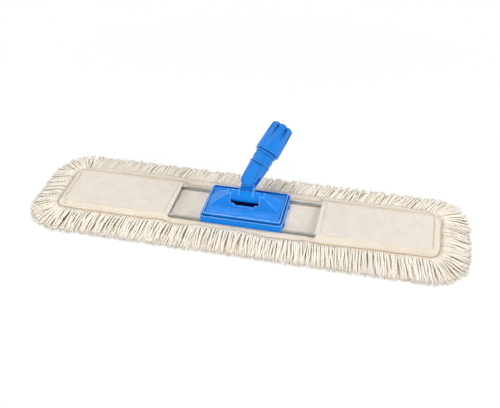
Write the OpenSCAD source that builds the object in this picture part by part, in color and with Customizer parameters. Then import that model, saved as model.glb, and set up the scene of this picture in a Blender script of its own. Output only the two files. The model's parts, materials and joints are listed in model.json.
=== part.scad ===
// Dust mop head: pocketed cotton cloth, wire frame, two-axis connector and handle clamp.
// Millimetres, +Z up, sole on z = 0, length along X, front towards -Y.

/* [Cloth] */
// Height of the yarn pile under the backing
pile_height = 13.5; // [8:0.5:25]
// Thickness of the backing canvas
backing_thick = 1.5; // [0.8:0.1:3]
// Thickness of the pocket canvas
pocket_thick = 1.2; // [0.8:0.1:2]
// Open length between the two pocket mouths
mouth_gap = 304; // [230:1:400]
// Corner radius of the outer seam
seam_corner = 24; // [20:1:40]
// Room between the frame ends and the end binding
end_ease = 9; // [4:0.5:20]
// Room between the wire sides and the side binding
side_ease = 1.5; // [1:0.5:6]
// Width of the sloping binding, seen from above
binding_width = 16; // [10:0.5:24]
// Thickness of the binding, measured sideways
binding_thick = 1.6; // [1:0.1:3]
// Width of the hem along each pocket mouth
hem_width = 10; // [6:0.5:20]
// Thickness of the hem
hem_thick = 0.8; // [0.5:0.1:2]

/* [Fringe] */
// How far the fringe stands out from the seam
fringe_reach = 54; // [30:1:80]
// Height of the fringe halfway out
fringe_mid_height = 15.5; // [8:0.5:25]
// Height of the fringe at its tips
fringe_tip_height = 10; // [3:0.5:18]
// Width of the sewn root under the backing
fringe_root = 6; // [4:0.5:12]
// Spacing of the strands along the seam
strand_pitch = 5.2; // [5:0.1:9]

/* [Wire frame] */
// Wire diameter
wire_d = 6; // [4:0.5:8]
// Frame length over the wire
frame_length = 750; // [600:1:950]
// Frame width over the wire
frame_width = 107; // [90:1:140]
// Bend radius at the frame corners, to the wire centre
wire_bend = 18; // [10:1:30]
// Gap between the wire ends inside the connector
wire_end_gap = 12; // [6:1:40]

/* [Connector] */
// Length of the connector plate
plate_length = 170; // [150:1:220]
// Height of the plate side
plate_height = 16.7; // [14:0.1:24]
// Corner radius of the plate
plate_corner = 4; // [2:0.5:8]
// Wall left outside the wires
wire_wall = 1.5; // [1:0.1:3]
// Thickness of the clamp plate under the wires
clamp_lip = 2.4; // [1.6:0.1:4]
// Inset of the raised lip
lip_inset = 4.5; // [3:0.5:8]
// Height of the raised lip above the plate side
lip_height = 5.8; // [3:0.1:10]
// Thickness of the raised lip
lip_thick = 2; // [1.5:0.1:4]
// Depth of the tray inside the lip
tray_depth = 3; // [1.5:0.1:5]
// Width of the groove round the lip
groove_width = 1.6; // [1:0.1:2.5]
// Depth of the groove round the lip
groove_deep = 2.2; // [1:0.1:3]
// General wall of the shell
shell_wall = 3; // [2:0.1:4]
// Half width of the spine where it meets the end lips
spine_foot = 15; // [10:0.5:20]
// Half width of the spine at the shoulders
spine_top = 8; // [6:0.5:12]
// Half depth of the tent where it meets the tray
tent_foot = 21.5; // [20.5:0.5:30]
// Thickness of each bearing shoulder
shoulder_thick = 8; // [6:0.5:12]
// Height of the shoulders above the pivot
shoulder_rise = 11.5; // [9:0.5:16]
// Screw shank diameter
screw_d = 3.5; // [3:0.1:5]
// Screw head diameter
screw_head_d = 7; // [6:0.1:9]
// Screw places from the centre, along the plate
screw_x = 62; // [55:1:70]
// Screw places from the centre, across the plate
screw_y = 36; // [30:1:40]
// Length of the screw shank below the head
screw_length = 11; // [9:0.5:13]
// Height of the screw head
screw_head = 2.4; // [1.8:0.1:3]
// Depth of the head below the plate underside
screw_sink = 0.2; // [0:0.1:0.8]
// Wall of the screw bosses
boss_wall = 2.8; // [2:0.1:4]
// Places of the end tabs from the centre, across the plate
tab_place = 30; // [22:1:36]
// Width of the end tabs
tab_width = 10; // [6:0.5:14]

/* [Joint] */
// Height of the first pivot above the plate underside
pivot_height = 36.5; // [32:0.5:45]
// Lean of the yoke, back from upright
lean = 52; // [-58:1:58]
// Tilt of the socket, to the right of the yoke
tilt = 21.5; // [-75:0.5:75]
// Distance between the two pivots
pivot_gap = 34; // [30:0.5:40]
// Diameter of the first pivot pin
trunnion_d = 6; // [5:0.5:8]
// Diameter of the second pivot pin
fork_pin_d = 7; // [5:0.5:9]
// Length of the yoke block
yoke_length = 58; // [48:0.2:60]
// Half depth of the yoke block
yoke_half = 10; // [8:0.5:12]
// Thickness of the yoke lug
lug_thick = 14; // [10:0.5:18]
// Radius of the lug end
lug_r = 13; // [10:0.5:15]
// Radius of the fork ears
ear_r = 14.8; // [13:0.1:17]
// Thickness over the two fork ears
fork_thick = 33; // [28:0.5:36]
// Rim of the fork ears round their raised pad
ear_rim = 2.8; // [2.5:0.1:5]
// Width of the groove round the pad
ear_groove_width = 1.2; // [0.8:0.1:2]
// Depth of the groove round the pad
ear_groove_deep = 1; // [0.5:0.1:2]

/* [Handle socket] */
// Handle bore diameter
bore_d = 25.2; // [22:0.1:28]
// Depth of the bore in the socket
bore_depth = 56; // [40:1:70]
// Neck diameter
neck_d = 41.2; // [36:0.2:46]
// Ring ridge diameter
ring_d = 44.4; // [38:0.2:48]
// Ring ridge width
ring_width = 2.5; // [1.5:0.1:5]
// Distance from the second pivot to the ring
ring_place = 42; // [38:0.5:50]
// Length of the neck from the ring to its shoulder
neck_length = 29.5; // [20:0.5:40]
// Diameter of the stop ring below the collar
stop_ring_d = 45.4; // [43:0.2:48]
// Length of the stop ring
stop_ring = 4.6; // [2:0.2:8]
// Gap between the stop ring and the collar
stop_gap = 1.6; // [0.8:0.2:3]
// Diameter of the threaded stem inside the collar
stem_d = 34.4; // [33:0.2:38]
// Number of raised ribs round the neck
neck_ribs = 6; // [0:1:8]
// Height of the raised ribs
rib_rise = 1.1; // [0.5:0.1:2]

/* [Locking collar] */
// Collar length
collar_length = 66; // [55:1:80]
// Collar diameter at the bottom
collar_d = 53; // [48:0.2:58]
// Collar diameter at the top
collar_top_d = 46.6; // [40:0.2:48]
// Length of the clamp collet
collet_length = 28; // [20:0.5:34]
// Width of the collet slits
collet_slit = 2; // [1:0.1:4]
// Extra radius of the open collet over the bore
collet_open = 0; // [0:0.05:0.6]
// Number of flutes
flutes = 8; // [6:1:12]
// Flute radius
flute_r = 4.2; // [2:0.1:5]
// Turn of the flutes round the collar
flute_turn = 16; // [0:1:45]

/* [Clearances] */
// Gap between soft pieces
soft_gap = 0.3; // [0.2:0.05:0.6]
// Play round the clamped wires
wire_play = 0.1; // [0.05:0.05:0.3]
// Radial running play of the pivot pins
pin_play = 0.05; // [0.02:0.01:0.1]
// Side play of the yoke and the lug
side_play = 0.4; // [0.2:0.1:0.8]
// Play between the clamp plate and the shell
plate_play = 0.3; // [0.1:0.05:0.5]
// Radial play of the collar on the stem
thread_play = 0.4; // [0.2:0.05:0.6]

/* [Hidden] */
$fn = 48;
eps = 0.01;

wire_r = wire_d / 2;
backing_top = pile_height + backing_thick;
wire_z = backing_top + clamp_lip + wire_play + wire_r;
wire_y = frame_width / 2 - wire_r;
wire_x = frame_length / 2 - wire_r;

// Seam outline and the inner edge of the binding
band_x = frame_length / 2 + end_ease;
band_y = frame_width / 2 + side_ease;
seam_x = band_x + binding_width;
seam_y = band_y + binding_width;
band_corner = seam_corner - binding_width;
pocket_under = wire_z + wire_r + soft_gap;
pocket_top = pocket_under + pocket_thick;
mouth_x = mouth_gap / 2;
panel_x = band_x - binding_thick - soft_gap;
panel_y = band_y - binding_thick - soft_gap;

// Connector heights and outline
plate_x = plate_length / 2;
plate_y = frame_width / 2 + wire_wall;
ledge_z = backing_top + plate_height;
lip_z = ledge_z + lip_height;
tray_z = lip_z - tray_depth;
lip_x = plate_x - lip_inset;
lip_y = plate_y - lip_inset;
tray_x = lip_x - lip_thick;
tray_y = lip_y - lip_thick;
split_z = wire_z;
foot_z = tray_z + 2;
tent_x = tray_x - 3.5;
bay_x = plate_x - shell_wall;
bay_y = wire_y + wire_r - 0.9;
void_y = wire_y - wire_r - wire_play - shell_wall;
shank_start = backing_top + screw_sink + 0.75 * screw_head;
shank_end = shank_start + screw_length;

// Pivots: the yoke turns about X at pivot_z, the socket about the yoke's own Y
pivot_z = backing_top + pivot_height;
trunnion_r = trunnion_d / 2;
fork_pin_r = fork_pin_d / 2;
slot_x = yoke_length / 2 + 2 * side_play;
shoulder_x = slot_x + shoulder_thick;
shoulder_z = pivot_z + shoulder_rise;
pin_end = shoulder_x - 2;
pedestal_in = slot_x + 0.6;
ear_in = lug_thick / 2 + side_play;
ear_out = fork_thick / 2;
pin_reach = ear_out - 3;
slot_deep = lug_r + 4;
flange_top = pivot_gap - ear_r - 1;

// Notches in the tent: a wide one for the yoke block, a narrow one below it for the flanges
block_reach = norm([yoke_half, yoke_half + 1]);
notch_y = block_reach + 2 * side_play;
notch_z = pivot_z - 6;
notch_floor = notch_z - 4.5;
notch_x = lug_r + 10;
notch_x_low = notch_x - 3.5;

// Heights along the socket, from the second pivot
neck_end = ring_place + ring_width + neck_length;
collar_start = neck_end - 2;
bore_start = ring_place + 6;
stem_end = bore_start + bore_depth;
collet_start = stem_end + soft_gap;
collet_end = collet_start + collet_length;
collar_end = collar_start + collar_length;
bore_r = bore_d / 2;
collet_r = bore_r + collet_open;
stem_r = stem_d / 2;
thread_r = stem_r + thread_play;
collet_top_r = collet_r + 2.2;

// Flat shapes shared by several pieces

module rounded_rect(half_x, half_y, r) {
    square([2 * (half_x - r), 2 * half_y], center = true);
    square([2 * half_x, 2 * (half_y - r)], center = true);
    for (sx = [-1, 1], sy = [-1, 1])
        translate([sx * (half_x - r), sy * (half_y - r)])
            circle(r);
}

module slab(half_x, half_y, r, z, h) {
    translate([0, 0, z])
        linear_extrude(h)
            rounded_rect(half_x, half_y, r);
}

module bar(half_x, half_y, top) {
    translate([-half_x, -half_y, top - 0.5])
        cube([2 * half_x, 2 * half_y, 0.5]);
}

module at_yoke() {
    translate([0, 0, pivot_z])
        rotate([-lean, 0, 0])
            children();
}

module at_socket() {
    at_yoke()
        translate([0, 0, pivot_gap])
            rotate([0, tilt, 0])
                children();
}

module along_x(r, half) {
    rotate([0, 90, 0])
        cylinder(r = r, h = 2 * half, center = true);
}

module along_y(r, half) {
    rotate([90, 0, 0])
        cylinder(r = r, h = 2 * half, center = true);
}

// Fringe: one comb of tapering strands a side, walked counter-clockwise along the seam

run_x = 2 * (seam_x - seam_corner);
run_y = 2 * (seam_y - seam_corner);
arc_run = seam_corner * PI / 2;
end_run = run_y + 2 * arc_run;

// Point, outward direction and heading of a place on one long seam or on one rounded end
function long_place(s) = [[s - run_x / 2, -seam_y], [0, -1]];
function arc_place(cx, cy, a) =
    [[cx + seam_corner * cos(a), cy + seam_corner * sin(a)], [cos(a), sin(a)]];
function end_place(s) =
    s < arc_run
    ? arc_place(run_x / 2, -run_y / 2, -90 + 90 * s / arc_run)
    : s > arc_run + run_y
    ? arc_place(run_x / 2, run_y / 2, 90 * (s - arc_run - run_y) / arc_run)
    : [[seam_x, s - arc_run - run_y / 2], [1, 0]];
function place(s, long) = long ? long_place(s) : end_place(s);
function out_point(p, reach, z) =
    [p[0][0] + reach * p[1][0], p[0][1] + reach * p[1][1], z];

// Small even scatter so that no two neighbours match
function scatter(i, k) = sin(137.5 * i + 71 * k);
function strand_reach(i) = fringe_reach * (0.955 + 0.045 * scatter(i, 1));
function strand_tip(i) = fringe_tip_height * (0.85 + 0.15 * scatter(i, 2));
function strand_mid(i) = fringe_mid_height * (0.96 + 0.04 * scatter(i, 3));
function sway(i) = 0.07 * scatter(i, 4);

function root_ring(p) = [
    out_point(p, -fringe_root, 0),
    out_point(p, -fringe_root, pile_height - soft_gap),
    out_point(p, 0, 0),
    out_point(p, 0, pile_height - soft_gap)];

function strand_pair(i, step, long, edge, reach, top) = [
    out_point(place((i + edge) * step, long), reach, 0),
    out_point(place((i + edge) * step, long), reach, top),
    out_point(place((i + 1 - edge) * step, long), reach, 0),
    out_point(place((i + 1 - edge) * step, long), reach, top)];

function strand_points(i, step, long) = concat(
    strand_pair(i + sway(i) / 2, step, long, 0.1, strand_reach(i) / 2, strand_mid(i)),
    strand_pair(i + sway(i), step, long, 0.2, strand_reach(i), strand_tip(i)));

function quad(a, b, c, d) = [[a, b, c], [a, c, d]];

function strand_faces(j, n) =
    let (r = 4 * j, q = r + 4, m = 4 * (n + 1) + 8 * j, t = m + 4)
    concat(
        quad(r + 1, q + 1, q + 3, r + 3),
        quad(r, r + 2, q + 2, q),
        quad(r + 1, r, q, q + 1),
        quad(r + 3, q + 3, m + 3, m + 1),
        quad(m + 1, m + 3, t + 3, t + 1),
        quad(r + 2, m, m + 2, q + 2),
        quad(m, t, t + 2, m + 2),
        quad(r + 3, m + 1, m, r + 2),
        quad(m + 1, t + 1, t, m),
        quad(q + 3, q + 2, m + 2, m + 3),
        quad(m + 3, m + 2, t + 2, t + 3),
        quad(t + 1, t + 3, t + 2, t));

module comb(run, long) {
    n = round(run / strand_pitch);
    step = run / n;
    roots = [for (j = [0:n]) each root_ring(place(j * step, long))];
    strands = [for (j = [0:n - 1]) each strand_points(j, step, long)];
    sides = [for (j = [0:n - 1]) each strand_faces(j, n)];
    caps = concat(quad(1, 3, 2, 0), quad(4 * n + 3, 4 * n + 1, 4 * n, 4 * n + 2));
    polyhedron(points = concat(roots, strands), faces = concat(sides, caps), convexity = 10);
}

module fringe_front() {
    color("#e9e2d3")
        comb(run_x, true);
}

module fringe_back() {
    color("#e9e2d3")
        rotate([0, 0, 180])
            comb(run_x, true);
}

module fringe_right() {
    color("#e9e2d3")
        comb(end_run, false);
}

module fringe_left() {
    color("#e9e2d3")
        rotate([0, 0, 180])
            comb(end_run, false);
}

// Cloth

module yarn_pile() {
    edge = fringe_root + soft_gap;
    color("#e4dccb")
        slab(seam_x - edge, seam_y - edge, seam_corner - edge, 0, pile_height);
}

module backing_cloth() {
    color("#e6e0d6")
        slab(seam_x, seam_y, seam_corner, pile_height, backing_thick);
}

module band_hull(shrink, rise) {
    hull() {
        slab(seam_x - shrink, seam_y - shrink, seam_corner - shrink, backing_top - rise, 0.3);
        slab(band_x - shrink, band_y - shrink, band_corner - shrink,
            pocket_top - 0.3 + rise, 0.3);
    }
}

// The band slopes up to the pockets and lies flat beside the open frame
module edge_binding() {
    color("#efe2cc")
        difference() {
            union() {
                difference() {
                    band_hull(0, 0);
                    band_hull(binding_thick, eps);
                    translate([-mouth_x, -seam_y - 1, backing_top + binding_thick])
                        cube([2 * mouth_x, 2 * seam_y + 2, pocket_top]);
                }
                for (turn = [0, 1])
                    mirror([0, turn, 0])
                        translate([-mouth_x, band_y, backing_top])
                            cube([2 * mouth_x, seam_y - 1.4 * binding_thick - band_y, binding_thick]);
            }
            slab(plate_x + soft_gap, plate_y + soft_gap, plate_corner + soft_gap,
                backing_top - 1, plate_height + 2);
        }
}

module pocket() {
    r = band_corner - binding_thick;
    difference() {
        slab(panel_x, panel_y, r, pocket_under, pocket_thick);
        translate([mouth_x - 2 * seam_x, -seam_y, pocket_under - 1])
            cube([2 * seam_x, 2 * seam_y, pocket_thick + 2]);
    }
}

module pocket_hem() {
    translate([mouth_x, -panel_y, pocket_top])
        cube([hem_width, 2 * panel_y, hem_thick]);
}

module right_pocket() {
    color("#ebe5da")
        pocket();
}

module left_pocket() {
    color("#ebe5da")
        rotate([0, 0, 180])
            pocket();
}

module right_pocket_hem() {
    color("#efe6d6")
        pocket_hem();
}

module left_pocket_hem() {
    color("#efe6d6")
        rotate([0, 0, 180])
            pocket_hem();
}

// Wire frame: two U-shaped wires, their legs held in the connector

module wire_half() {
    leg_start = wire_end_gap / 2;
    leg = wire_x - wire_bend - leg_start;
    bar = wire_y - wire_bend;
    translate([0, 0, wire_z]) {
        for (side = [-1, 1]) {
            translate([leg_start + leg / 2, side * wire_y, 0])
                along_x(wire_r, leg / 2);
            translate([wire_x - wire_bend, side * bar, 0])
                rotate([0, 0, side > 0 ? 0 : -90])
                    rotate_extrude(angle = 90)
                        translate([wire_bend, 0])
                            circle(wire_r);
        }
        translate([wire_x, 0, 0])
            along_y(wire_r, bar);
    }
}

module right_wire() {
    color("#8f9296")
        wire_half();
}

module left_wire() {
    color("#8f9296")
        rotate([0, 0, 180])
            wire_half();
}

// Connector: moulded shell above the wires, clamp plate below them

module wire_channels() {
    for (side = [-1, 1])
        translate([0, side * wire_y, wire_z])
            along_x(wire_r + wire_play, plate_x + 1);
}

module shell_outside() {
    slab(plate_x, plate_y, plate_corner, backing_top, plate_height);
    difference() {
        slab(lip_x, lip_y, 3, ledge_z - 1, lip_height + 1);
        slab(tray_x, tray_y, 2, tray_z, tray_depth + 1);
    }
    hull() {
        bar(tray_x - 0.5, tray_y - 0.5, tray_z + 0.2);
        bar(tent_x, tent_foot, foot_z);
    }
    hull() {
        bar(shoulder_x, spine_top, shoulder_z);
        bar(tray_x - 0.8, spine_foot, foot_z);
        bar(tent_x, tent_foot, foot_z);
    }
}

module shell_inside() {
    slab(bay_x, bay_y, 3, backing_top - 1, split_z - backing_top + 1);
    translate([-bay_x, -void_y, split_z - eps])
        cube([2 * bay_x, 2 * void_y, ledge_z - groove_deep - 2.2 - split_z]);
    translate([-tray_x + 1, -void_y, split_z - eps])
        cube([2 * tray_x - 2, 2 * void_y, tray_z - shell_wall - split_z]);
    hull() {
        bar(shoulder_x - 4, spine_top - 3, shoulder_z - shell_wall);
        bar(tray_x - 4.5, tent_foot, tray_z - shell_wall - 1.5);
    }
}

module bearing_ribs() {
    for (side = [-1, 1])
        translate([side * (slot_x + shoulder_thick / 2), 0, (split_z + shoulder_z - 2) / 2])
            cube([shoulder_thick, 2 * spine_top, shoulder_z - 2 - split_z], center = true);
}

module lip_groove() {
    difference() {
        slab(lip_x + groove_width, lip_y + groove_width, 3.5, ledge_z - groove_deep, groove_deep + 1);
        slab(lip_x, lip_y, 3, ledge_z - groove_deep - 1, groove_deep + 3);
    }
}

module tent_notches() {
    translate([-slot_x, -notch_y, split_z])
        cube([2 * slot_x, 2 * notch_y, shoulder_z]);
    translate([-slot_x, -tent_foot, notch_z])
        cube([2 * slot_x, 2 * tent_foot, shoulder_z]);
    rotate([90, 0, 0])
        linear_extrude(2 * tent_foot + 2, center = true)
            polygon([[-notch_x_low, notch_floor], [notch_x_low, notch_floor],
                [notch_x, notch_z + 1], [-notch_x, notch_z + 1]]);
}

module screw_places() {
    for (sx = [-1, 1], sy = [-1, 1])
        translate([sx * screw_x, sy * screw_y, 0])
            children();
}

module saddles() {
    for (side = [-1, 1]) {
        translate([side * (pin_end + 0.5) / 2, 0, pivot_z])
            along_x(trunnion_r + pin_play, (pin_end + 0.5) / 2);
        translate([side * (pin_end + 0.5) / 2, 0, (split_z + pivot_z) / 2 - eps])
            cube([pin_end + 0.5, 2 * (trunnion_r + pin_play), pivot_z - split_z], center = true);
    }
}

module tabs(play) {
    for (sx = [-1, 1], sy = [-1, 1])
        translate([sx * (bay_x + 1.5), sy * tab_place, backing_top + 2])
            cube([7 + 2 * play, tab_width + 2 * play, 3 + 2 * play], center = true);
}

module connector_shell() {
    color("#1f7fe6")
        difference() {
            union() {
                difference() {
                    shell_outside();
                    shell_inside();
                }
                bearing_ribs();
                intersection() {
                    shell_outside();
                    screw_places()
                        translate([0, 0, split_z])
                            cylinder(r = screw_d / 2 + boss_wall, h = shoulder_z - split_z);
                }
            }
            tent_notches();
            lip_groove();
            wire_channels();
            saddles();
            tabs(plate_play);
            screw_places()
                translate([0, 0, split_z - 1])
                    cylinder(r = screw_d / 2 + pin_play, h = shank_end + 2.5 - split_z);
        }
}

module clamp_plate() {
    color("#1767c4")
        difference() {
            union() {
                slab(bay_x - plate_play, bay_y - plate_play, 3, backing_top,
                    split_z - backing_top - plate_play);
                for (side = [-1, 1])
                    translate([side * (pedestal_in + pin_end - 0.4) / 2, 0,
                        (backing_top + pivot_z) / 2 + 1])
                        cube([pin_end - 0.4 - pedestal_in, 2 * trunnion_r - 0.2,
                            pivot_z - backing_top - 2], center = true);
                tabs(0);
            }
            wire_channels();
            translate([0, 0, pivot_z])
                along_x(trunnion_r + pin_play, shoulder_x);
            screw_places() {
                translate([0, 0, backing_top - 1])
                    cylinder(r = screw_d / 2 + plate_play, h = split_z - backing_top + 2);
                translate([0, 0, backing_top - 1])
                    cylinder(r = screw_head_d / 2 + plate_play, h = 1 + screw_sink + screw_head);
            }
        }
}

module clamp_screws() {
    color("#b9bcc0")
        screw_places()
            translate([0, 0, backing_top]) {
                difference() {
                    translate([0, 0, screw_sink])
                        cylinder(r = screw_head_d / 2, h = screw_head);
                    for (turn = [0, 90])
                        rotate([0, 0, turn])
                            translate([-screw_d / 2 - 0.25, -0.5, 0])
                                cube([screw_d + 0.5, 1, screw_sink + screw_head / 2]);
                }
                translate([0, 0, shank_start - backing_top])
                    cylinder(r = screw_d / 2, h = screw_length);
            }
}

module trunnion_pin() {
    color("#a9adb2")
        translate([0, 0, pivot_z])
            along_x(trunnion_r, pin_end);
}

// Yoke: a block on the first pin with a flanged lug for the second

module lug_outline() {
    translate([0, pivot_gap])
        circle(lug_r);
    polygon([[-lug_r - 2, 0], [lug_r + 2, 0], [lug_r, pivot_gap], [-lug_r, pivot_gap]]);
}

module yoke() {
    color("#1b74d8")
        at_yoke()
            difference() {
                union() {
                    along_x(yoke_half, yoke_length / 2);
                    translate([0, 0, yoke_half / 2])
                        cube([yoke_length, 2 * yoke_half, yoke_half + 2], center = true);
                    rotate([90, 0, 0])
                        linear_extrude(lug_thick, center = true)
                            lug_outline();
                    for (side = [-1, 1])
                        translate([side * (lug_r + 1.7), 0, flange_top / 2])
                            cube([3, 2 * yoke_half + 2, flange_top], center = true);
                }
                along_x(trunnion_r + pin_play, yoke_length);
                translate([0, 0, pivot_gap])
                    along_y(fork_pin_r, lug_thick);
            }
}

module fork_pin() {
    color("#a9adb2")
        at_yoke()
            translate([0, 0, pivot_gap])
                along_y(fork_pin_r, pin_reach - 0.5);
}

// Handle socket: fork ears below, neck and threaded stem above

module ear_pad(rim) {
    circle(ear_r - rim);
    polygon([[rim - ear_r, 0], [ear_r - rim, 0], [ear_r - rim - 2.2, ring_place], [rim + 2.2 - ear_r, ring_place]]);
}

module ear_groove() {
    for (side = [-1, 1])
        translate([0, side * ear_out, 0])
            rotate([90, 0, 0])
                linear_extrude(2 * ear_groove_deep, center = true)
                    difference() {
                        ear_pad(ear_rim - ear_groove_width);
                        ear_pad(ear_rim);
                        translate([-ring_d, ring_place - 6])
                            square(2 * ring_d);
                    }
}

module fork_body() {
    intersection() {
        hull() {
            along_y(ear_r, ear_out);
            translate([0, 0, ring_place - 2])
                cylinder(d = ring_d - 2, h = 2);
        }
        translate([0, 0, ring_place / 2])
            cube([2 * ring_d, fork_thick, 3 * ring_place], center = true);
    }
}

module handle_socket() {
    color("#2285ee")
        at_socket()
            difference() {
                union() {
                    fork_body();
                    rotate([90, 0, 0])
                        linear_extrude(fork_thick + 1.6, center = true)
                            ear_pad(ear_rim);
                    translate([0, 0, ring_place])
                        cylinder(d = ring_d, h = ring_width);
                    translate([0, 0, ring_place + ring_width - eps])
                        cylinder(d = neck_d, h = neck_length + eps);
                    translate([0, 0, collar_start - stop_gap - stop_ring])
                        cylinder(d = stop_ring_d, h = stop_ring);
                    translate([0, 0, neck_end - eps])
                        cylinder(r = stem_r, h = stem_end - neck_end + eps);
                    for (i = [1:1:neck_ribs])
                        rotate([0, 0, 360 * i / neck_ribs - 90])
                            translate([neck_d / 2 - 2 + rib_rise, 0, ring_place + ring_width + 12])
                                cube([4, 3, 10], center = true);
                }
                cube([2 * ring_d, 2 * ear_in, 2 * slot_deep], center = true);
                ear_groove();
                along_y(fork_pin_r + pin_play, pin_reach);
                translate([0, 0, bore_start])
                    cylinder(d = bore_d, h = bore_depth + 1);
            }
}

module clamp_collet() {
    color("#d9dde2")
        at_socket()
            difference() {
                translate([0, 0, collet_start])
                    cylinder(r1 = stem_r - 0.2, r2 = collet_top_r, h = collet_length);
                translate([0, 0, collet_start - 1])
                    cylinder(r = collet_r, h = collet_length + 2);
                for (turn = [0, 60, 120])
                    rotate([0, 0, turn])
                        translate([-stem_d, -collet_slit / 2, collet_start + 4])
                            cube([2 * stem_d, collet_slit, collet_length]);
            }
}

module collar_outline() {
    polygon([
        [thread_r, collar_start + 3.4],
        [thread_r, collet_start],
        [collet_top_r + thread_play, collet_end],
        [collet_r + 0.4, collet_end + 0.6],
        [collet_r + 0.4, collar_end],
        [collar_top_d / 2 - 1.2, collar_end],
        [collar_top_d / 2, collar_end - 1.2],
        [collar_d / 2 - 1, collar_start + 0.48 * collar_length],
        [collar_d / 2, collar_start + 5],
        [collar_d / 2, collar_start + 1],
        [collar_d / 2 - 1, collar_start],
        [neck_d / 2 + 0.6, collar_start],
        [neck_d / 2 + 0.6, collar_start + 3.4]]);
}

module locking_collar() {
    slope = atan2(2 * flute_r, 0.6 * collar_length);
    color("#2a8cf2")
        at_socket()
            difference() {
                rotate_extrude()
                    collar_outline();
                for (i = [0:1:flutes - 1])
                    rotate([0, 0, 360 * (i + 0.5) / flutes + flute_turn])
                        translate([collar_d / 2 + 1.6, 0, collar_start + 0.42 * collar_length])
                            rotate([0, -slope, 0])
                                cylinder(r = flute_r, h = collar_length);
            }
}

yarn_pile();
fringe_front();
fringe_back();
fringe_left();
fringe_right();
backing_cloth();
edge_binding();
left_pocket();
right_pocket();
left_pocket_hem();
right_pocket_hem();
left_wire();
right_wire();
connector_shell();
clamp_plate();
clamp_screws();
trunnion_pin();
yoke();
fork_pin();
handle_socket();
clamp_collet();
locking_collar();
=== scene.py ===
"""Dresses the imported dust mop: sewn cotton cloth, yarn fringe, zinc wire and a blue moulded joint."""

import json
import logging
import math
import random
from dataclasses import dataclass, field
from enum import Enum
from itertools import accumulate

import bmesh
import bpy
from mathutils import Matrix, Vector, noise

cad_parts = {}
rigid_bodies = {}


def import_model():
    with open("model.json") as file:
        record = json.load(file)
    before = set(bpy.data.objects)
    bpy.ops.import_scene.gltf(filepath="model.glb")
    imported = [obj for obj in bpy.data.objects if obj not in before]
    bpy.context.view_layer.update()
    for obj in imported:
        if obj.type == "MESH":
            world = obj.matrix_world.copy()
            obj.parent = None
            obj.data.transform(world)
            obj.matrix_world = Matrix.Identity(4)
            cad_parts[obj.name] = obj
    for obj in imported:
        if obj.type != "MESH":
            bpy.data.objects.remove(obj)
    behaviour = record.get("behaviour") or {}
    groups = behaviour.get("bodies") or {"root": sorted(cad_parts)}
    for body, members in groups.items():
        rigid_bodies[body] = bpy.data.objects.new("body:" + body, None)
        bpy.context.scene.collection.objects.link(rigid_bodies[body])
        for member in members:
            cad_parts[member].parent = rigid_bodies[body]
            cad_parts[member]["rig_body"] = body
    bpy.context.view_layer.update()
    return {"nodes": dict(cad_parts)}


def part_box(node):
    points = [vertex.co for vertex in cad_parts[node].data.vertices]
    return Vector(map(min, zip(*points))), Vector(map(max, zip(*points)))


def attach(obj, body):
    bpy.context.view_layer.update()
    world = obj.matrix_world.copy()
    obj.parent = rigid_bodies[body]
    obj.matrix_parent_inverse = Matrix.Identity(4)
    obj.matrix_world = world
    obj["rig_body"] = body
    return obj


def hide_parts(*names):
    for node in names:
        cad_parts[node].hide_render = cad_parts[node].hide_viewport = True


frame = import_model()
LOG = logging.getLogger("dust_mop")
MM = 0.001
Colour = tuple[float, float, float]
Pairs = tuple[tuple[float, float], ...]
Socket = bpy.types.NodeSocket


# ---------------------------------------------------------------- small helpers

def smooth(t: float) -> float:
    """Eases a share from 0 to 1."""
    t = min(1.0, max(0.0, t))
    return t * t * (3.0 - 2.0 * t)


def ramp(x: float, pairs: Pairs) -> float:
    """Reads a height off a given list of places, eased between them.

    Args:
        x: place to read.
        pairs: places and heights, in rising order of place.

    Returns:
        The height at x, held level past both ends.
    """
    if x <= pairs[0][0]:
        return pairs[0][1]
    for (x0, y0), (x1, y1) in zip(pairs, pairs[1:]):
        if x <= x1:
            return y0 + (y1 - y0) * smooth((x - x0) / (x1 - x0))
    return pairs[-1][1]


def wander(*place: float) -> float:
    """Smooth noise between about -1 and 1 at a place of up to three numbers."""
    return noise.noise(Vector((*place, 0.37, 0.71)[:3]))


def edge_fade(x: float, edge: float, width: float) -> float:
    """Rises from 0 to 1 over a width that ends at an edge."""
    return smooth((x - edge + width) / width)


def ridge(x: float, middle: float, width: float) -> float:
    """Height of a rounded ridge, which is 1 at its middle."""
    return math.exp(-((x - middle) / width) ** 2)


def body_of_node(node: str) -> str:
    """Name of the CAD body that carries a node."""
    return frame["nodes"][node]["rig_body"]


def place_object(name: str, data: bpy.types.ID) -> bpy.types.Object:
    """Makes an object from its data and puts it in the scene."""
    made = bpy.data.objects.new(name, data)
    bpy.context.scene.collection.objects.link(made)
    return made


def finish_piece(name: str, mesh: bpy.types.Mesh, material: bpy.types.Material, body: str,
                 replaces: tuple[str, ...] = ()) -> bpy.types.Object:
    """Turns a mesh into a named piece that rides on a body.

    Args:
        name: the piece's name.
        mesh: its finished mesh, in place.
        material: its finish.
        body: the CAD body that carries it.
        replaces: CAD nodes that it stands for.

    Returns:
        The new object.
    """
    mesh.name = name
    mesh.materials.clear()
    mesh.materials.append(material)
    mesh.shade_smooth()
    piece = place_object(name, mesh)
    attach(piece, body)
    if replaces:
        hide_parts(*replaces)
    LOG.info("built %s with %d faces", name, len(mesh.polygons))
    return piece


def mesh_from(bm: bmesh.types.BMesh, name: str) -> bpy.types.Mesh:
    """Writes a bmesh to a new mesh and frees it."""
    mesh = bpy.data.meshes.new(name)
    bm.to_mesh(mesh)
    bm.free()
    return mesh


def cloth_grid(columns: int, rows: int) -> tuple[bmesh.types.BMesh, bmesh.types.BMLayerItem]:
    """Starts a sheet as a square grid, with an empty map and a warmth value at each point."""
    bm = bmesh.new()
    bmesh.ops.create_grid(bm, x_segments=columns, y_segments=rows, size=1.0)
    bm.loops.layers.uv.new("cloth")
    return bm, bm.verts.layers.float.new("warmth")


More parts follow.
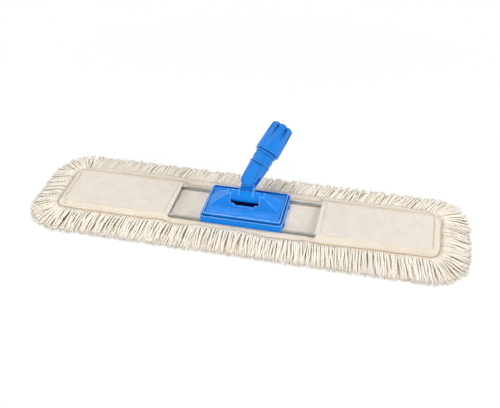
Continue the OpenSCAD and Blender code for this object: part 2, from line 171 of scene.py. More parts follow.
def lay_map(bm: bmesh.types.BMesh, spots: dict[int, tuple[float, float]] | None = None) -> None:
    """Fills a sheet's map.

    Args:
        bm: the sheet.
        spots: place of each point on the flat cloth, by its index; its place from above where there are none.
    """
    layer = bm.loops.layers.uv["cloth"]
    for face in bm.faces:
        for loop in face.loops:
            loop[layer].uv = spots[loop.vert.index] if spots else loop.vert.co.xy


def thicken(piece: bpy.types.Object, thickness: float) -> None:
    """Gives a sheet its thickness below its upper face, with a live Solidify."""
    solid = piece.modifiers.new("thickness", "SOLIDIFY")
    solid.thickness = thickness
    solid.offset = -1.0
    solid.use_even_offset = True


# ---------------------------------------------------------------- shader nodes

def settle(node: bpy.types.Node, values: dict[str, object]) -> None:
    """Sets plain values on a node's inputs, by name."""
    for name, value in values.items():
        node.inputs[name].default_value = value


class Tree:
    """Lays out shader nodes in one node tree."""

    def __init__(self, tree: bpy.types.NodeTree) -> None:
        """Keeps the tree that is being filled."""
        self.tree = tree

    def node(self, kind: str, **settings: object) -> bpy.types.Node:
        """Adds a node and sets its properties."""
        made = self.tree.nodes.new(kind)
        for key, value in settings.items():
            setattr(made, key, value)
        return made

    def feed(self, value: object, socket: Socket) -> None:
        """Links a socket, or sets a plain value on it."""
        if isinstance(value, Socket):
            self.tree.links.new(value, socket)
        elif value is not None:
            socket.default_value = value

    def math(self, operation: str, a: object, b: object = None) -> Socket:
        """Adds one Math node and returns its result."""
        made = self.node("ShaderNodeMath", operation=operation)
        for value, socket in zip((a, b), made.inputs):
            self.feed(value, socket)
        return made.outputs[0]

    def times(self, a: object, b: object) -> Socket:
        """Multiplies two values."""
        return self.math("MULTIPLY", a, b)

    def plus(self, a: object, b: object) -> Socket:
        """Adds two values."""
        return self.math("ADD", a, b)

    def split(self, vector: Socket) -> bpy.types.bpy_prop_collection:
        """Splits a vector and returns its X, Y and Z sockets."""
        made = self.node("ShaderNodeSeparateXYZ")
        self.feed(vector, made.inputs[0])
        return made.outputs

    def mix(self, factor: object, a: object, b: object, blend: str = "MIX") -> Socket:
        """Mixes two colours and returns the result."""
        made = self.node("ShaderNodeMix", data_type="RGBA", blend_type=blend)
        self.feed(factor, made.inputs[0])
        for value, socket in ((a, made.inputs[6]), (b, made.inputs[7])):
            self.feed((*value, 1.0) if isinstance(value, tuple) else value, socket)
        return made.outputs[2]

    def spread(self, value: object, low: float, high: float, to_low: float = 0.0,
               to_high: float = 1.0) -> Socket:
        """Maps a value from one range to another, held at the ends."""
        made = self.node("ShaderNodeMapRange")
        for number, socket in zip((value, low, high, to_low, to_high), made.inputs):
            self.feed(number, socket)
        return made.outputs[0]

    def cloud(self, place: Socket, scale: float, detail: float = 2.0,
              stretch: tuple[float, float, float] = (1.0, 1.0, 1.0)) -> Socket:
        """Adds a noise texture on a stretched place and returns its value."""
        move = self.node("ShaderNodeMapping")
        settle(move, {"Scale": stretch})
        self.feed(place, move.inputs["Vector"])
        made = self.node("ShaderNodeTexNoise")
        settle(made, {"Scale": scale, "Detail": detail})
        self.feed(move.outputs[0], made.inputs["Vector"])
        return made.outputs[0]

    def attribute(self, name: str) -> Socket:
        """Reads a named attribute of the mesh as a number."""
        return self.node("ShaderNodeAttribute", attribute_name=name).outputs["Fac"]

    def call(self, group: bpy.types.NodeTree, **inputs: object) -> bpy.types.Node:
        """Places a node group and feeds its named inputs."""
        made = self.node("ShaderNodeGroup")
        made.node_tree = group
        for key, value in inputs.items():
            self.feed(value, made.inputs[key])
        return made


class Effect(Enum):
    """Effects that several finishes share, each a node group."""

    WEAVE = "plain_weave"
    PLY = "twisted_ply"
    GRAIN = "moulded_grain"
    DRAWN = "drawn_streaks"


def group_shell(effect: Effect, inputs: dict[str, tuple[str, object]], outputs: tuple[str, ...]
                ) -> tuple[bpy.types.NodeTree, Tree, bpy.types.Node, bpy.types.Node]:
    """Makes an empty node group with named sockets.

    Args:
        effect: the effect that the group holds.
        inputs: socket type and default of each input, by name.
        outputs: names of the outputs, all numbers.

    Returns:
        The group, its builder, its input node and its output node.
    """
    group = bpy.data.node_groups.new(effect.value, "ShaderNodeTree")
    for name, (kind, default) in inputs.items():
        made = group.interface.new_socket(name, in_out="INPUT", socket_type=kind)
        if default is not None:
            made.default_value = default
    for name in outputs:
        group.interface.new_socket(name, in_out="OUTPUT", socket_type="NodeSocketFloat")
    tree = Tree(group)
    return group, tree, tree.node("NodeGroupInput"), tree.node("NodeGroupOutput")


def weave_group() -> bpy.types.NodeTree:
    """Plain weave of two crossing threads, with slubs and seed flecks."""
    group, t, start, end = group_shell(
        Effect.WEAVE,
        {"Place": ("NodeSocketVector", None), "Threads": ("NodeSocketFloat", 1100.0)},
        ("Height", "Slub", "Fleck"))
    place = start.outputs["Place"]
    across, along, _ = t.split(place)
    waves = [t.math("SINE", t.times(t.times(axis, start.outputs["Threads"]), math.pi))
             for axis in (across, along)]
    cross = t.times(*waves)
    bumps = t.plus(t.math("ABSOLUTE", cross), t.times(cross, 0.3))
    warp = t.cloud(place, 1.0, 2.0, (25.0, 700.0, 1.0))
    weft = t.cloud(place, 1.0, 2.0, (700.0, 25.0, 1.0))
    slub = t.times(t.plus(warp, weft), 0.5)
    t.feed(t.plus(bumps, t.times(slub, 0.6)), end.inputs["Height"])
    t.feed(slub, end.inputs["Slub"])
    specks = t.cloud(place, 420.0, 1.0)
    t.feed(t.spread(specks, 0.74, 0.80), end.inputs["Fleck"])
    return group


def ply_group() -> bpy.types.NodeTree:
    """Twisted plies along a yarn, from its own map, with loose fibres."""
    group, t, start, end = group_shell(
        Effect.PLY,
        {"Place": ("NodeSocketVector", None), "Plies": ("NodeSocketFloat", 3.0),
         "Turns": ("NodeSocketFloat", 120.0)},
        ("Height", "Fibre"))
    around, along, _ = t.split(start.outputs["Place"])
    lay = t.plus(t.times(around, start.outputs["Plies"]), t.times(along, start.outputs["Turns"]))
    ridge = t.math("ABSOLUTE", t.math("SINE", t.times(lay, math.pi)))
    fibre = t.cloud(start.outputs["Place"], 1.0, 3.0, (26.0, 420.0, 1.0))
    t.feed(t.plus(ridge, t.times(fibre, 0.5)), end.inputs["Height"])
    t.feed(fibre, end.inputs["Fibre"])
    return group


def grain_group() -> bpy.types.NodeTree:
    """Fine moulded skin with soft handling marks."""
    group, t, start, end = group_shell(
        Effect.GRAIN,
        {"Place": ("NodeSocketVector", None), "Fineness": ("NodeSocketFloat", 1.0)},
        ("Height", "Haze", "Scuff"))
    sized = t.node("ShaderNodeVectorMath", operation="SCALE")
    t.feed(start.outputs["Place"], sized.inputs[0])
    t.feed(start.outputs["Fineness"], sized.inputs["Scale"])
    place = sized.outputs[0]
    t.feed(t.cloud(place, 2600.0, 2.0), end.inputs["Height"])
    t.feed(t.cloud(place, 34.0, 3.0), end.inputs["Haze"])
    lines = t.cloud(place, 60.0, 6.0, (1.0, 9.0, 3.0))
    t.feed(t.spread(lines, 0.60, 0.72), end.inputs["Scuff"])
    return group


def drawn_group() -> bpy.types.NodeTree:
    """Streaks of drawn and plated wire, with dull patches."""
    group, t, start, end = group_shell(
        Effect.DRAWN, {"Place": ("NodeSocketVector", None)}, ("Streak", "Patch"))
    place = start.outputs["Place"]
    t.feed(t.cloud(place, 1.0, 3.0, (30.0, 1400.0, 1400.0)), end.inputs["Streak"])
    t.feed(t.cloud(place, 55.0, 4.0), end.inputs["Patch"])
    return group


GROUPS: dict[Effect, bpy.types.NodeTree] = {}


def effect_group(effect: Effect) -> bpy.types.NodeTree:
    """Builds an effect's node group once and hands it out."""
    makers = {Effect.WEAVE: weave_group, Effect.PLY: ply_group,
              Effect.GRAIN: grain_group, Effect.DRAWN: drawn_group}
    if effect not in GROUPS:
        GROUPS[effect] = makers[effect]()
    return GROUPS[effect]


def empty_tree(owner: bpy.types.Material | bpy.types.World) -> Tree:
    """Clears the nodes of a material or a world and starts to fill them."""
    owner.use_nodes = True
    owner.node_tree.nodes.clear()
    return Tree(owner.node_tree)


def fresh_material(name: str) -> tuple[bpy.types.Material, Tree, bpy.types.Node]:
    """Makes a material with one Principled shader.

    Args:
        name: the finish's name.

    Returns:
        The material, its node builder and its shader.
    """
    material = bpy.data.materials.new(name)
    tree = empty_tree(material)
    shader = tree.node("ShaderNodeBsdfPrincipled")
    tree.feed(shader.outputs[0], tree.node("ShaderNodeOutputMaterial").inputs["Surface"])
    return material, tree, shader


def add_bump(tree: Tree, shader: bpy.types.Node, height: Socket, depth: float, strength: float) -> None:
    """Feeds a height to the shader's normal."""
    bump = tree.node("ShaderNodeBump")
    settle(bump, {"Strength": strength, "Distance": depth})
    tree.feed(height, bump.inputs["Height"])
    tree.feed(bump.outputs[0], shader.inputs["Normal"])


# ---------------------------------------------------------------- finishes

@dataclass(frozen=True)
class ClothFinish:
    """Woven cotton: two shades, a warm colour for the sewn edge and for painted shade, and its thread count.
    """

    name: str
    light: Colour
    shade: Colour
    warm: Colour
    threads: float = 1150.0
    roughness: float = 0.92
    seed_fleck: Colour = (0.34, 0.24, 0.13)

    def build(self) -> bpy.types.Material:
        """Builds the cloth's material from its own map."""
        material, t, shader = fresh_material(self.name)
        place = t.node("ShaderNodeUVMap", uv_map="cloth").outputs[0]
        weave = t.call(effect_group(Effect.WEAVE), Place=place, Threads=self.threads)
        blotch = t.cloud(place, 38.0, 4.0)
        mottle = t.cloud(place, 330.0, 2.0)
        tone = t.plus(t.times(blotch, 0.22), t.times(weave.outputs["Slub"], 0.35))
        tone = t.plus(tone, t.times(mottle, 0.5))
        colour = t.mix(t.spread(tone, 0.44, 0.60), self.shade, self.light)
        # The warmth value warms the sewn edge, and paints shade along the seam's groove and beside the pocket
        # mouths.
        colour = t.mix(t.attribute("warmth"), colour, self.warm)
        # Painted shade in the hollows of the weave.
        weave_hollow_shade = t.spread(weave.outputs["Height"], 0.0, 0.7, 0.78)
        colour = t.mix(1.0, colour, weave_hollow_shade, "MULTIPLY")
        colour = t.mix(t.times(weave.outputs["Fleck"], 0.35), colour, self.seed_fleck)
        t.feed(colour, shader.inputs["Base Color"])
        settle(shader, {"Roughness": self.roughness, "Sheen Weight": 0.25, "Sheen Roughness": 0.6,
                        "Specular IOR Level": 0.2})
        add_bump(t, shader, weave.outputs["Height"], 0.0003, 0.55)
        return material


@dataclass(frozen=True)
class YarnFinish:
    """Twisted cotton yarn: tone from strand to strand, painted shade in tan at depth and roots, and greyer
    tips.
    """

    name: str
    light: Colour
    tan: Colour
    tip: Colour
    plies: float = 3.0
    turns: float = 110.0
    roughness: float = 0.95

    def build(self) -> bpy.types.Material:
        """Builds the yarn's material from its map and strand attributes."""
        material, t, shader = fresh_material(self.name)
        place = t.node("ShaderNodeUVMap", uv_map="strand").outputs[0]
        ply = t.call(effect_group(Effect.PLY), Place=place, Plies=self.plies, Turns=self.turns)
        colour = t.mix(t.attribute("tone"), self.tan, self.light)
        along = t.attribute("along")
        # Painted shade: the yarn turns tan near its root, under the tape's edge.
        colour = t.mix(t.spread(along, 0.0, 0.12, 0.22, 0.0), colour, self.tan)
        # Greyer towards the tips.
        tint_mask = t.times(t.spread(along, 0.80, 1.0, 0.0, 0.75), t.spread(ply.outputs["Fibre"], 0.3, 0.6, 0.4))
        colour = t.mix(tint_mask, colour, self.tip)
        # Painted shade in the grooves between the plies.
        groove = t.spread(ply.outputs["Height"], 0.05, 0.75, 0.62)
        colour = t.mix(1.0, colour, groove, "MULTIPLY")
        t.feed(colour, shader.inputs["Base Color"])
        settle(shader, {"Roughness": self.roughness, "Sheen Weight": 0.35, "Sheen Roughness": 0.5,
                        "Specular IOR Level": 0.15})
        add_bump(t, shader, ply.outputs["Height"], 0.0007, 0.7)
        return material


@dataclass(frozen=True)
class PlasticFinish:
    """Moulded plastic with a fine skin, hazy gloss, painted shade in its creases, a painted highlight along
    its edges and a painted sheen on its level faces.

    The crease is how far the painted shade of a hollow reaches and the depth is what is left of the colour
    there, the rim width is that of the painted highlight along an edge, and the level sheen is how pale the
    level faces are painted towards the front.
    """

    name: str
    colour: Colour
    pale: Colour
    # Pale colour of the painted highlight along edges and of the painted sheen on level faces.
    edge: Colour = (0.36, 0.62, 1.0)
    roughness: float = 0.27
    shine: float = 0.22
    grain: float = 0.00006
    crease: float = 0.007
    depth: float = 0.36
    highlight_rim: float = 0.0017
    level_sheen: float = 0.0
    level_sheen_y: tuple[float, float] = (-0.018, -0.046)

    def painted_level_sheen(self, t: Tree, place: Socket) -> Socket:
        """Streaky mask of painted sheen on the level faces towards the front."""
        level = t.split(t.node("ShaderNodeTexCoord").outputs["Normal"])["Z"]
        streaks = t.spread(t.cloud(place, 260.0, 4.0, (0.16, 1.0, 1.0)), 0.4, 0.62, 0.1)
        painted_level_sheen = t.times(t.spread(level, 0.9, 0.99, 0.0, self.level_sheen), streaks)
        return t.times(painted_level_sheen, t.spread(t.split(place)["Y"], *self.level_sheen_y, 0.1))

    def painted_edge_highlight(self, t: Tree, openness: Socket) -> Socket:
        """Mask of the painted highlight on narrow strips beside edges that stand out, and on the lip's top.
        """
        rounded = t.node("ShaderNodeBevel", samples=8)
        settle(rounded, {"Radius": self.highlight_rim})
        bend = t.node("ShaderNodeVectorMath", operation="DOT_PRODUCT")
        t.feed(rounded.outputs[0], bend.inputs[0])
        t.feed(t.node("ShaderNodeNewGeometry").outputs["True Normal"], bend.inputs[1])
        highlight_rim = t.times(t.spread(bend.outputs["Value"], 0.988, 0.955), t.spread(openness, 0.7, 0.9))
        return t.math("MAXIMUM", highlight_rim, t.attribute("edge"))

    def build(self) -> bpy.types.Material:
        """Builds the plastic's material on the piece's own coordinates."""
        material, t, shader = fresh_material(self.name)
        place = t.node("ShaderNodeTexCoord").outputs["Object"]
        skin = t.call(effect_group(Effect.GRAIN), Place=place, Fineness=1.0)
        haze, scuff = skin.outputs["Haze"], skin.outputs["Scuff"]
        colour = t.mix(t.spread(haze, 0.3, 0.7, 0.0, 0.22), self.colour, self.pale)
        colour = t.mix(t.times(scuff, 0.18), colour, self.pale)
        # Painted sheen: level faces towards the front are mixed towards the edge colour.
        colour = t.mix(self.painted_level_sheen(t, place), colour, self.edge)
        # Painted shade: the colour darkens in creases and hollows, as far as the crease distance reaches.
        open_side = t.node("ShaderNodeAmbientOcclusion", only_local=True, samples=8)
        settle(open_side, {"Distance": self.crease})
        openness = open_side.outputs["AO"]
        colour = t.mix(1.0, colour, t.spread(openness, 0.3, 0.92, self.depth), "MULTIPLY")
        # Painted highlight: rounded strips along outer edges, and the lip's top, are mixed towards the edge
        # colour.
        tint_mask = t.times(self.painted_edge_highlight(t, openness), t.spread(haze, 0.3, 0.7, 0.5, 0.85))
        t.feed(t.mix(tint_mask, colour, self.edge), shader.inputs["Base Color"])
        rough = t.spread(haze, 0.3, 0.7, self.roughness - 0.05, self.roughness + 0.06)
        t.feed(t.plus(rough, t.times(scuff, 0.08)), shader.inputs["Roughness"])
        settle(shader, {"Specular IOR Level": self.shine})
        add_bump(t, shader, skin.outputs["Height"], self.grain, 0.35)
        return material


@dataclass(frozen=True)
class MetalFinish:
    """Drawn or turned steel with plating streaks and dull patches."""

    name: str
    bright: Colour
    dull: Colour
    roughness: float = 0.42
    metallic: float = 0.85

    def build(self) -> bpy.types.Material:
        """Builds the metal's material on the piece's own coordinates."""
        material, t, shader = fresh_material(self.name)
        place = t.node("ShaderNodeTexCoord").outputs["Object"]
        drawn = t.call(effect_group(Effect.DRAWN), Place=place)
        dull = t.plus(t.spread(drawn.outputs["Patch"], 0.35, 0.65, 0.0, 0.7),
                      t.spread(drawn.outputs["Streak"], 0.35, 0.65, 0.0, 0.3))
        t.feed(t.mix(dull, self.bright, self.dull), shader.inputs["Base Color"])
        rough = t.spread(dull, 0.0, 1.0, self.roughness - 0.1, self.roughness + 0.14)
        t.feed(rough, shader.inputs["Roughness"])
        settle(shader, {"Metallic": self.metallic})
        add_bump(t, shader, drawn.outputs["Streak"], 0.00005, 0.4)
        return material


CANVAS = ClothFinish("cotton_canvas", (0.82, 0.755, 0.665), (0.72, 0.65, 0.56), (0.84, 0.73, 0.60))
# The backing's warm colour is darker: painted shadow beside the pocket mouths.
BACKING = ClothFinish("backing_canvas", (0.92, 0.83, 0.72), (0.76, 0.67, 0.56), (0.66, 0.58, 0.47))
# The tape's warm colour is dark brown: painted shade in the groove along the seam stitches.
TAPE = ClothFinish("binding_tape", (0.835, 0.755, 0.65), (0.74, 0.66, 0.555), (0.62, 0.47, 0.31),
                   threads=900.0)
HEM = ClothFinish("hem_canvas", (0.84, 0.775, 0.675), (0.76, 0.69, 0.59), (0.82, 0.72, 0.58))
# The tan colour paints shade, deep in the fringe and at the roots.
YARN = YarnFinish("cotton_yarn", (0.94, 0.885, 0.785), (0.78, 0.61, 0.39), (0.72, 0.69, 0.63))
SEAM_THREAD = YarnFinish("seam_thread", (0.40, 0.28, 0.16), (0.31, 0.21, 0.12), (0.36, 0.25, 0.15),
                         turns=900.0)
HEM_THREAD = YarnFinish("hem_thread", (0.76, 0.67, 0.53), (0.68, 0.58, 0.44), (0.72, 0.63, 0.49),
                        turns=900.0)
# In these finishes the edge colour is painted light, and the creases get painted shade.
BLUE = PlasticFinish("blue_moulding", (0.001, 0.20, 0.71), (0.012, 0.26, 0.78), level_sheen=0.2)
GRIP_BLUE = PlasticFinish("blue_grip", (0.006, 0.185, 0.64), (0.04, 0.26, 0.78), (0.09, 0.36, 0.86),
                          roughness=0.3, shine=0.3, crease=0.009, depth=0.4, highlight_rim=0.0011)
DARK_BLUE = PlasticFinish("blue_underside", (0.003, 0.14, 0.56), (0.015, 0.19, 0.62), roughness=0.42)
GREY_PLASTIC = PlasticFinish("grey_collet", (0.58, 0.60, 0.63), (0.70, 0.71, 0.73), (0.8, 0.8, 0.82),
                             roughness=0.5)
ZINC = MetalFinish("zinc_wire", (0.53, 0.53, 0.49), (0.37, 0.37, 0.34), roughness=0.5, metallic=0.5)
STEEL = MetalFinish("plain_steel", (0.62, 0.62, 0.62), (0.42, 0.42, 0.42), roughness=0.34, metallic=1.0)
MADE: dict[str, bpy.types.Material] = {}


def dressed(finish: ClothFinish | YarnFinish | PlasticFinish | MetalFinish) -> bpy.types.Material:
    """Builds a finish once and hands it out."""
    if finish.name not in MADE:
        MADE[finish.name] = finish.build()
    return MADE[finish.name]


# ---------------------------------------------------------------- strands

@dataclass
class Strand:
    """One yarn or stitch: the points it follows, its radii and its tone."""

    points: list[Vector]
    radii: list[float]
    tone: float


@dataclass
class StrandBundle:
    """Many strands of equal point count, swept together into one mesh."""

    name: str
    strands: list[Strand] = field(default_factory=list)
    sides: int = 6

    def sweep(self) -> bpy.types.Mesh:
        """Sweeps every strand along its points.

        Returns:
            One mesh with the map 'strand' and the attributes 'tone' and 'along'.
        """
        line = bpy.data.curves.new(self.name + "_lines", "CURVE")
        line.dimensions = "3D"
        line.bevel_depth = 1.0
        line.bevel_resolution = max(0, (self.sides - 4) // 2)
        line.twist_mode = "MINIMUM"
        for strand in self.strands:
            spline = line.splines.new("POLY")
            spline.points.add(len(strand.points) - 1)
            for place, point, radius in zip(spline.points, strand.points, strand.radii):
                place.co = (*point, 1.0)
                place.radius = radius
        guide = place_object(self.name + "_guide", line)
        bpy.context.view_layer.update()
        graph = bpy.context.evaluated_depsgraph_get()
        mesh = bpy.data.meshes.new_from_object(guide.evaluated_get(graph))
        bpy.data.objects.remove(guide)
        bpy.data.curves.remove(line)
        bm = bmesh.new()
        bm.from_mesh(mesh)
        bmesh.ops.holes_fill(bm, edges=[e for e in bm.edges if e.is_boundary], sides=self.sides)
        bmesh.ops.recalc_face_normals(bm, faces=bm.faces)
        bm.to_mesh(mesh)
        bm.free()
        self.label(mesh)
        return mesh

    def label(self, mesh: bpy.types.Mesh) -> None:
        """Writes each strand's map, tone and distance along it."""
        rings = len(self.strands[0].points)
        per = rings * self.sides
        count = len(mesh.vertices)
        if count != per * len(self.strands):
            raise ValueError(f"{self.name}: {count} vertices for {len(self.strands)} strands of {per}")
        tone = mesh.attributes.new("tone", "FLOAT", "POINT")
        along = mesh.attributes.new("along", "FLOAT", "POINT")
        tone.data.foreach_set("value", [self.strands[i // per].tone for i in range(count)])
        along.data.foreach_set("value", [(i % per) // self.sides / (rings - 1) for i in range(count)])
        while mesh.uv_layers:
            mesh.uv_layers.remove(mesh.uv_layers[0])
        layer = mesh.uv_layers.new(name="strand")
        run = [list(accumulate(((b - a).length for a, b in zip(s.points, s.points[1:])), initial=0.0))
               for s in self.strands]
        values = [0.0] * (2 * len(mesh.loops))
        for face in mesh.polygons:
            places = [mesh.loops[i].vertex_index for i in face.loop_indices]
            turns = [v % self.sides for v in places]
            wraps = len(places) == 4 and max(turns) - min(turns) > 1
            for i, v, turn in zip(face.loop_indices, places, turns):
                values[2 * i] = (turn + (self.sides if wraps and turn == 0 else 0)) / self.sides
                values[2 * i + 1] = run[v // per][(v % per) // self.sides]
        layer.data.foreach_set("uv", values)


# ---------------------------------------------------------------- seam

@dataclass
class SeamLine:
    """Rounded outline along which cloth, tape and fringe are sewn, walked from the front left."""

    half_x: float
    half_y: float
    corner: float
    front_ripple: Pairs = (
        (-0.376, -0.001), (-0.205, -0.001), (-0.171, -0.004), (-0.129, 0.002), (-0.084, -0.005),
        (-0.038, -0.002), (-0.016, -0.006), (0.030, -0.001), (0.060, 0.004), (0.105, 0.002),
        (0.140, -0.002), (0.171, 0.002), (0.230, -0.001), (0.300, -0.003), (0.376, -0.004))
    back_ripple: Pairs = (
        (-0.376, 0.003), (-0.320, 0.012), (-0.230, 0.011), (-0.120, 0.011), (0.0, 0.009),
        (0.120, 0.009), (0.230, 0.006), (0.320, 0.009), (0.376, 0.002))
    jitter: float = 0.0007
    fade_in: float = 0.014
    end_blend: float = 0.03

    @property
    def run_x(self) -> float:
        """Straight length of a long side."""
        return 2 * (self.half_x - self.corner)

    @property
    def run_y(self) -> float:
        """Straight length of an end."""
        return 2 * (self.half_y - self.corner)

    @property
    def arc(self) -> float:
        """Length round one corner."""
        return self.corner * math.pi / 2

    @property
    def length(self) -> float:
        """Length all the way round."""
        return 2 * (self.run_x + self.run_y) + 4 * self.arc

    def leg(self, s: float) -> tuple[int, float, bool]:
        """Finds which side a distance falls on.

        Args:
            s: distance along the seam.

        Returns:
            The side from 0 at the front to 3 at the left, the distance into it, and whether it is on the
            corner after that side.
        """
        s %= self.length
        for side in range(4):
            run = self.run_y if side % 2 else self.run_x
            if s < run:
                return side, s, False
            if s < run + self.arc:
                return side, s - run, True
            s -= run + self.arc
        return 0, 0.0, False

    def at(self, s: float) -> tuple[Vector, Vector]:
        """Point and outward direction at a distance along the seam."""
        side, into, on_arc = self.leg(s)
        ex, ey = self.run_x / 2, self.run_y / 2
        centres = ((ex, -ey), (ex, ey), (-ex, ey), (-ex, -ey))
        if on_arc:
            angle = math.radians(90 * (side - 1)) + into / self.corner
            out = Vector((math.cos(angle), math.sin(angle), 0.0))
            return Vector((*centres[side], 0.0)) + out * self.corner, out
        angle = math.radians(90 * (side - 1))
        out = Vector((round(math.cos(angle)), round(math.sin(angle)), 0.0))
        heading = Vector((-out.y, out.x, 0.0))
        start = Vector((*centres[side - 1], 0.0)) + out * self.corner
        return start + heading * into, out

    def shift(self, s: float) -> float:
        """How far the sewn edge wanders outwards at a distance along the seam."""
        side, _, on_arc = self.leg(s)
        point, _ = self.at(s)
        small = self.jitter * wander(s * 42.0, 3.1)
        if side == 0 and not on_arc:
            return ramp(point.x, self.front_ripple) + small
        if side == 2 and not on_arc:
            return ramp(point.x, self.back_ripple) + small
        near = self.front_ripple if point.y < 0 else self.back_ripple
        edge = near[-1][1] if point.x > 0 else near[0][1]
        return edge * smooth((abs(point.y) - self.end_blend) / self.end_blend) + small

    def inset(self, s: float, depth: float, height: float = 0.0) -> Vector:
        """Point at a depth inside the seam, where the wandering fades out inwards."""
        point, out = self.at(s)
        moved = self.shift(s) * smooth(1.0 - depth / self.fade_in)
        return point + out * (moved - depth) + Vector((0.0, 0.0, height))


# ---------------------------------------------------------------- cloth

HEM_TOP = 0.0007
# Folded hem from its inner edge over the mouth to its underside: distance in from the mouth, and height
# on the panel.
HEM_FOLD: Pairs = (
    (0.0115, 0.0001), (0.0108, HEM_TOP), (0.008, HEM_TOP * 1.15), (0.004, HEM_TOP * 1.2),
    (0.0012, HEM_TOP * 1.15), (0.0001, HEM_TOP * 0.5), (-0.0003, -0.0006), (0.0003, -0.0017),
    (0.0020, -0.0021), (0.0085, -0.0019))
# Rows of the tape by their depth inside the seam. The first turns under the cloth's edge. The last two are
# marks, for the row at the tape's inner edge and the row at the foot of that edge.
INNER, FOOT = 1.0, 2.0
TAPE_ROWS = (-0.0004, 0.0, 0.0009, 0.0019, 0.0030, 0.0045, 0.0065, 0.0085, 0.0105, 0.0125, 0.0142, 0.0154,
             INNER, FOOT)


@dataclass
class MopCloth:
    """Backing, pocket panels with their hems, and the tape sewn round the edge."""

    seam: SeamLine
    backing_z: tuple[float, float]
    panel_z: tuple[float, float]
    panel_end: float
    mouth: float
    wire_y: float
    tape_width: float
    plate_x: float
    tape_thick: float = 0.0009
    tape_steps: int = 1040
    flat_rise: float = 0.0018
    back_rise: float = 0.0044
    stitch_depth: float = 0.0019
    stitch_back: float = 0.0076
    end_stitch: float = 0.0155
    pitch: float = 0.0046
    dash: float = 0.0039
    slack: float = 0.0012
    panel_over: float = 0.0042
    hem_over: float = 0.0036
    hem_rows: int = 48
    hem_thick: float = 0.0005
    hem_stitch: float = 0.0096
    mouth_gap: float = 0.0006
    crease_margin: float = 0.012
    groove: tuple[float, float] = (0.0008, 0.0011)
    end_groove: tuple[float, float] = (0.0006, 0.0009)
    right_swell: tuple[float, float, float] = (0.0011, 0.0085, 0.0026)
    pucker: float = 0.0004
    tape_lap: float = 0.0022
    tape_foot: float = 0.0008
    tape_under: float = 0.0016

    def backing(self) -> bpy.types.Object:
        """Builds the flat backing with its rounded corners and slight creases."""
        bm, warmth = cloth_grid(160, 32)
        low, high = self.backing_z
        hx, hy, r = self.seam.half_x, self.seam.half_y, self.seam.corner
        for v in bm.verts:
            x, y = v.co.x * hx, v.co.y * hy
            a, b = (abs(x) - hx + r) / r, (abs(y) - hy + r) / r
            if a > 0 and b > 0:
                x = math.copysign(hx - r + r * a * math.sqrt(1 - b * b / 2), x)
                y = math.copysign(hy - r + r * b * math.sqrt(1 - a * a / 2), y)
            open_part = smooth((abs(x) - self.plate_x) / self.crease_margin)
            open_part *= smooth((hy - self.crease_margin - abs(y)) / 0.01)
            crease = 0.00045 * wander(x * 26, y * 34) + 0.0003 * wander(x * 70, y * 18, 4.2)
            v.co = (x, y, high + crease * open_part)
            # Painted shadow on the backing beside each pocket mouth.
            v[warmth] = 0.25 * smooth((0.02 - abs(abs(x) - self.mouth)) / 0.02)
        lay_map(bm)
        piece = finish_piece("backing_canvas", mesh_from(bm, "backing"), dressed(BACKING), "mop",
                             ("backing_cloth",))
        thicken(piece, high - low)
        return piece

    def top_height(self, x: float, y: float) -> float:
        """Height of the pocket's upper face, slack between the wires that hold it up."""
        middle, half = 0.5 * (self.mouth + self.panel_end), 0.5 * (self.panel_end - self.mouth)
        across = max(0.0, 1.0 - (y / self.wire_y) ** 2)
        along = max(0.0, 1.0 - ((abs(x) - middle) / half) ** 2)
        sag = self.slack * across * (0.35 + 0.65 * along)
        crease = 0.00035 * wander(x * 17, y * 30, 1.0) + 0.00025 * wander(x * 46, y * 22, 7.0)
        return self.panel_z[1] - sag + crease

    def pocket(self, side: int, name: str, node: str) -> bpy.types.Object:
        """Builds one pocket panel.

        Args:
            side: -1 for the left end, 1 for the right.
            name: name of the piece.
            node: CAD node that it replaces.

        Returns:
            The panel's object.
        """
        bm, warmth = cloth_grid(72, 36)
        near, far = self.mouth + self.mouth_gap, self.panel_end
        half = self.wire_y + self.panel_over
        for v in bm.verts:
            x = side * (near + (far - near) * (v.co.x + 1) / 2)
            y = v.co.y * half
            v.co = (x, y, self.top_height(x, y))
            edge = max(edge_fade(abs(y), half, 0.009), 0.5 * edge_fade(abs(x), far, 0.012))
            v[warmth] = 0.8 * edge + 0.25 * smooth((0.03 - abs(x) + near) / 0.03)
        if side < 0:
            bmesh.ops.reverse_faces(bm, faces=bm.faces)
        lay_map(bm)
        piece = finish_piece(name, mesh_from(bm, name), dressed(CANVAS), "mop", (node,))
        thicken(piece, self.panel_z[1] - self.panel_z[0])
        return piece

    def hem(self, side: int, name: str, node: str) -> bpy.types.Object:
        """Builds the folded hem along one pocket mouth.

        Args:
            side: -1 for the left end, 1 for the right.
            name: name of the piece.
            node: CAD node that it replaces.

        Returns:
            The hem's object.
        """
        last = len(HEM_FOLD) - 1
        half = self.wire_y + self.hem_over
        bm, warmth = cloth_grid(last, self.hem_rows)
        steps = (math.hypot(x1 - x0, z1 - z0) for (x0, z0), (x1, z1) in zip(HEM_FOLD, HEM_FOLD[1:]))
        reached = list(accumulate(steps, initial=0.0))
        spots: dict[int, tuple[float, float]] = {}
        for v in bm.verts:
            i = round((v.co.x + 1) / 2 * last)
            into, rise = HEM_FOLD[i]
            y = v.co.y * half
            pucker = 0.00018 * wander(y * 160, i * 0.4)
            x = side * (self.mouth + into + 0.0007 * wander(y * 24, side * 2.0))
            spots[v.index] = (reached[i], y)
            v.co = (x, y, self.top_height(x, y) + rise + pucker)
            v[warmth] = 0.35 * edge_fade(abs(y), half, 0.008)
        if side > 0:
            bmesh.ops.reverse_faces(bm, faces=bm.faces)
        lay_map(bm, spots)
        piece = finish_piece(name, mesh_from(bm, name), dressed(HEM), "mop", (node,))
        thicken(piece, self.hem_thick)
        return piece

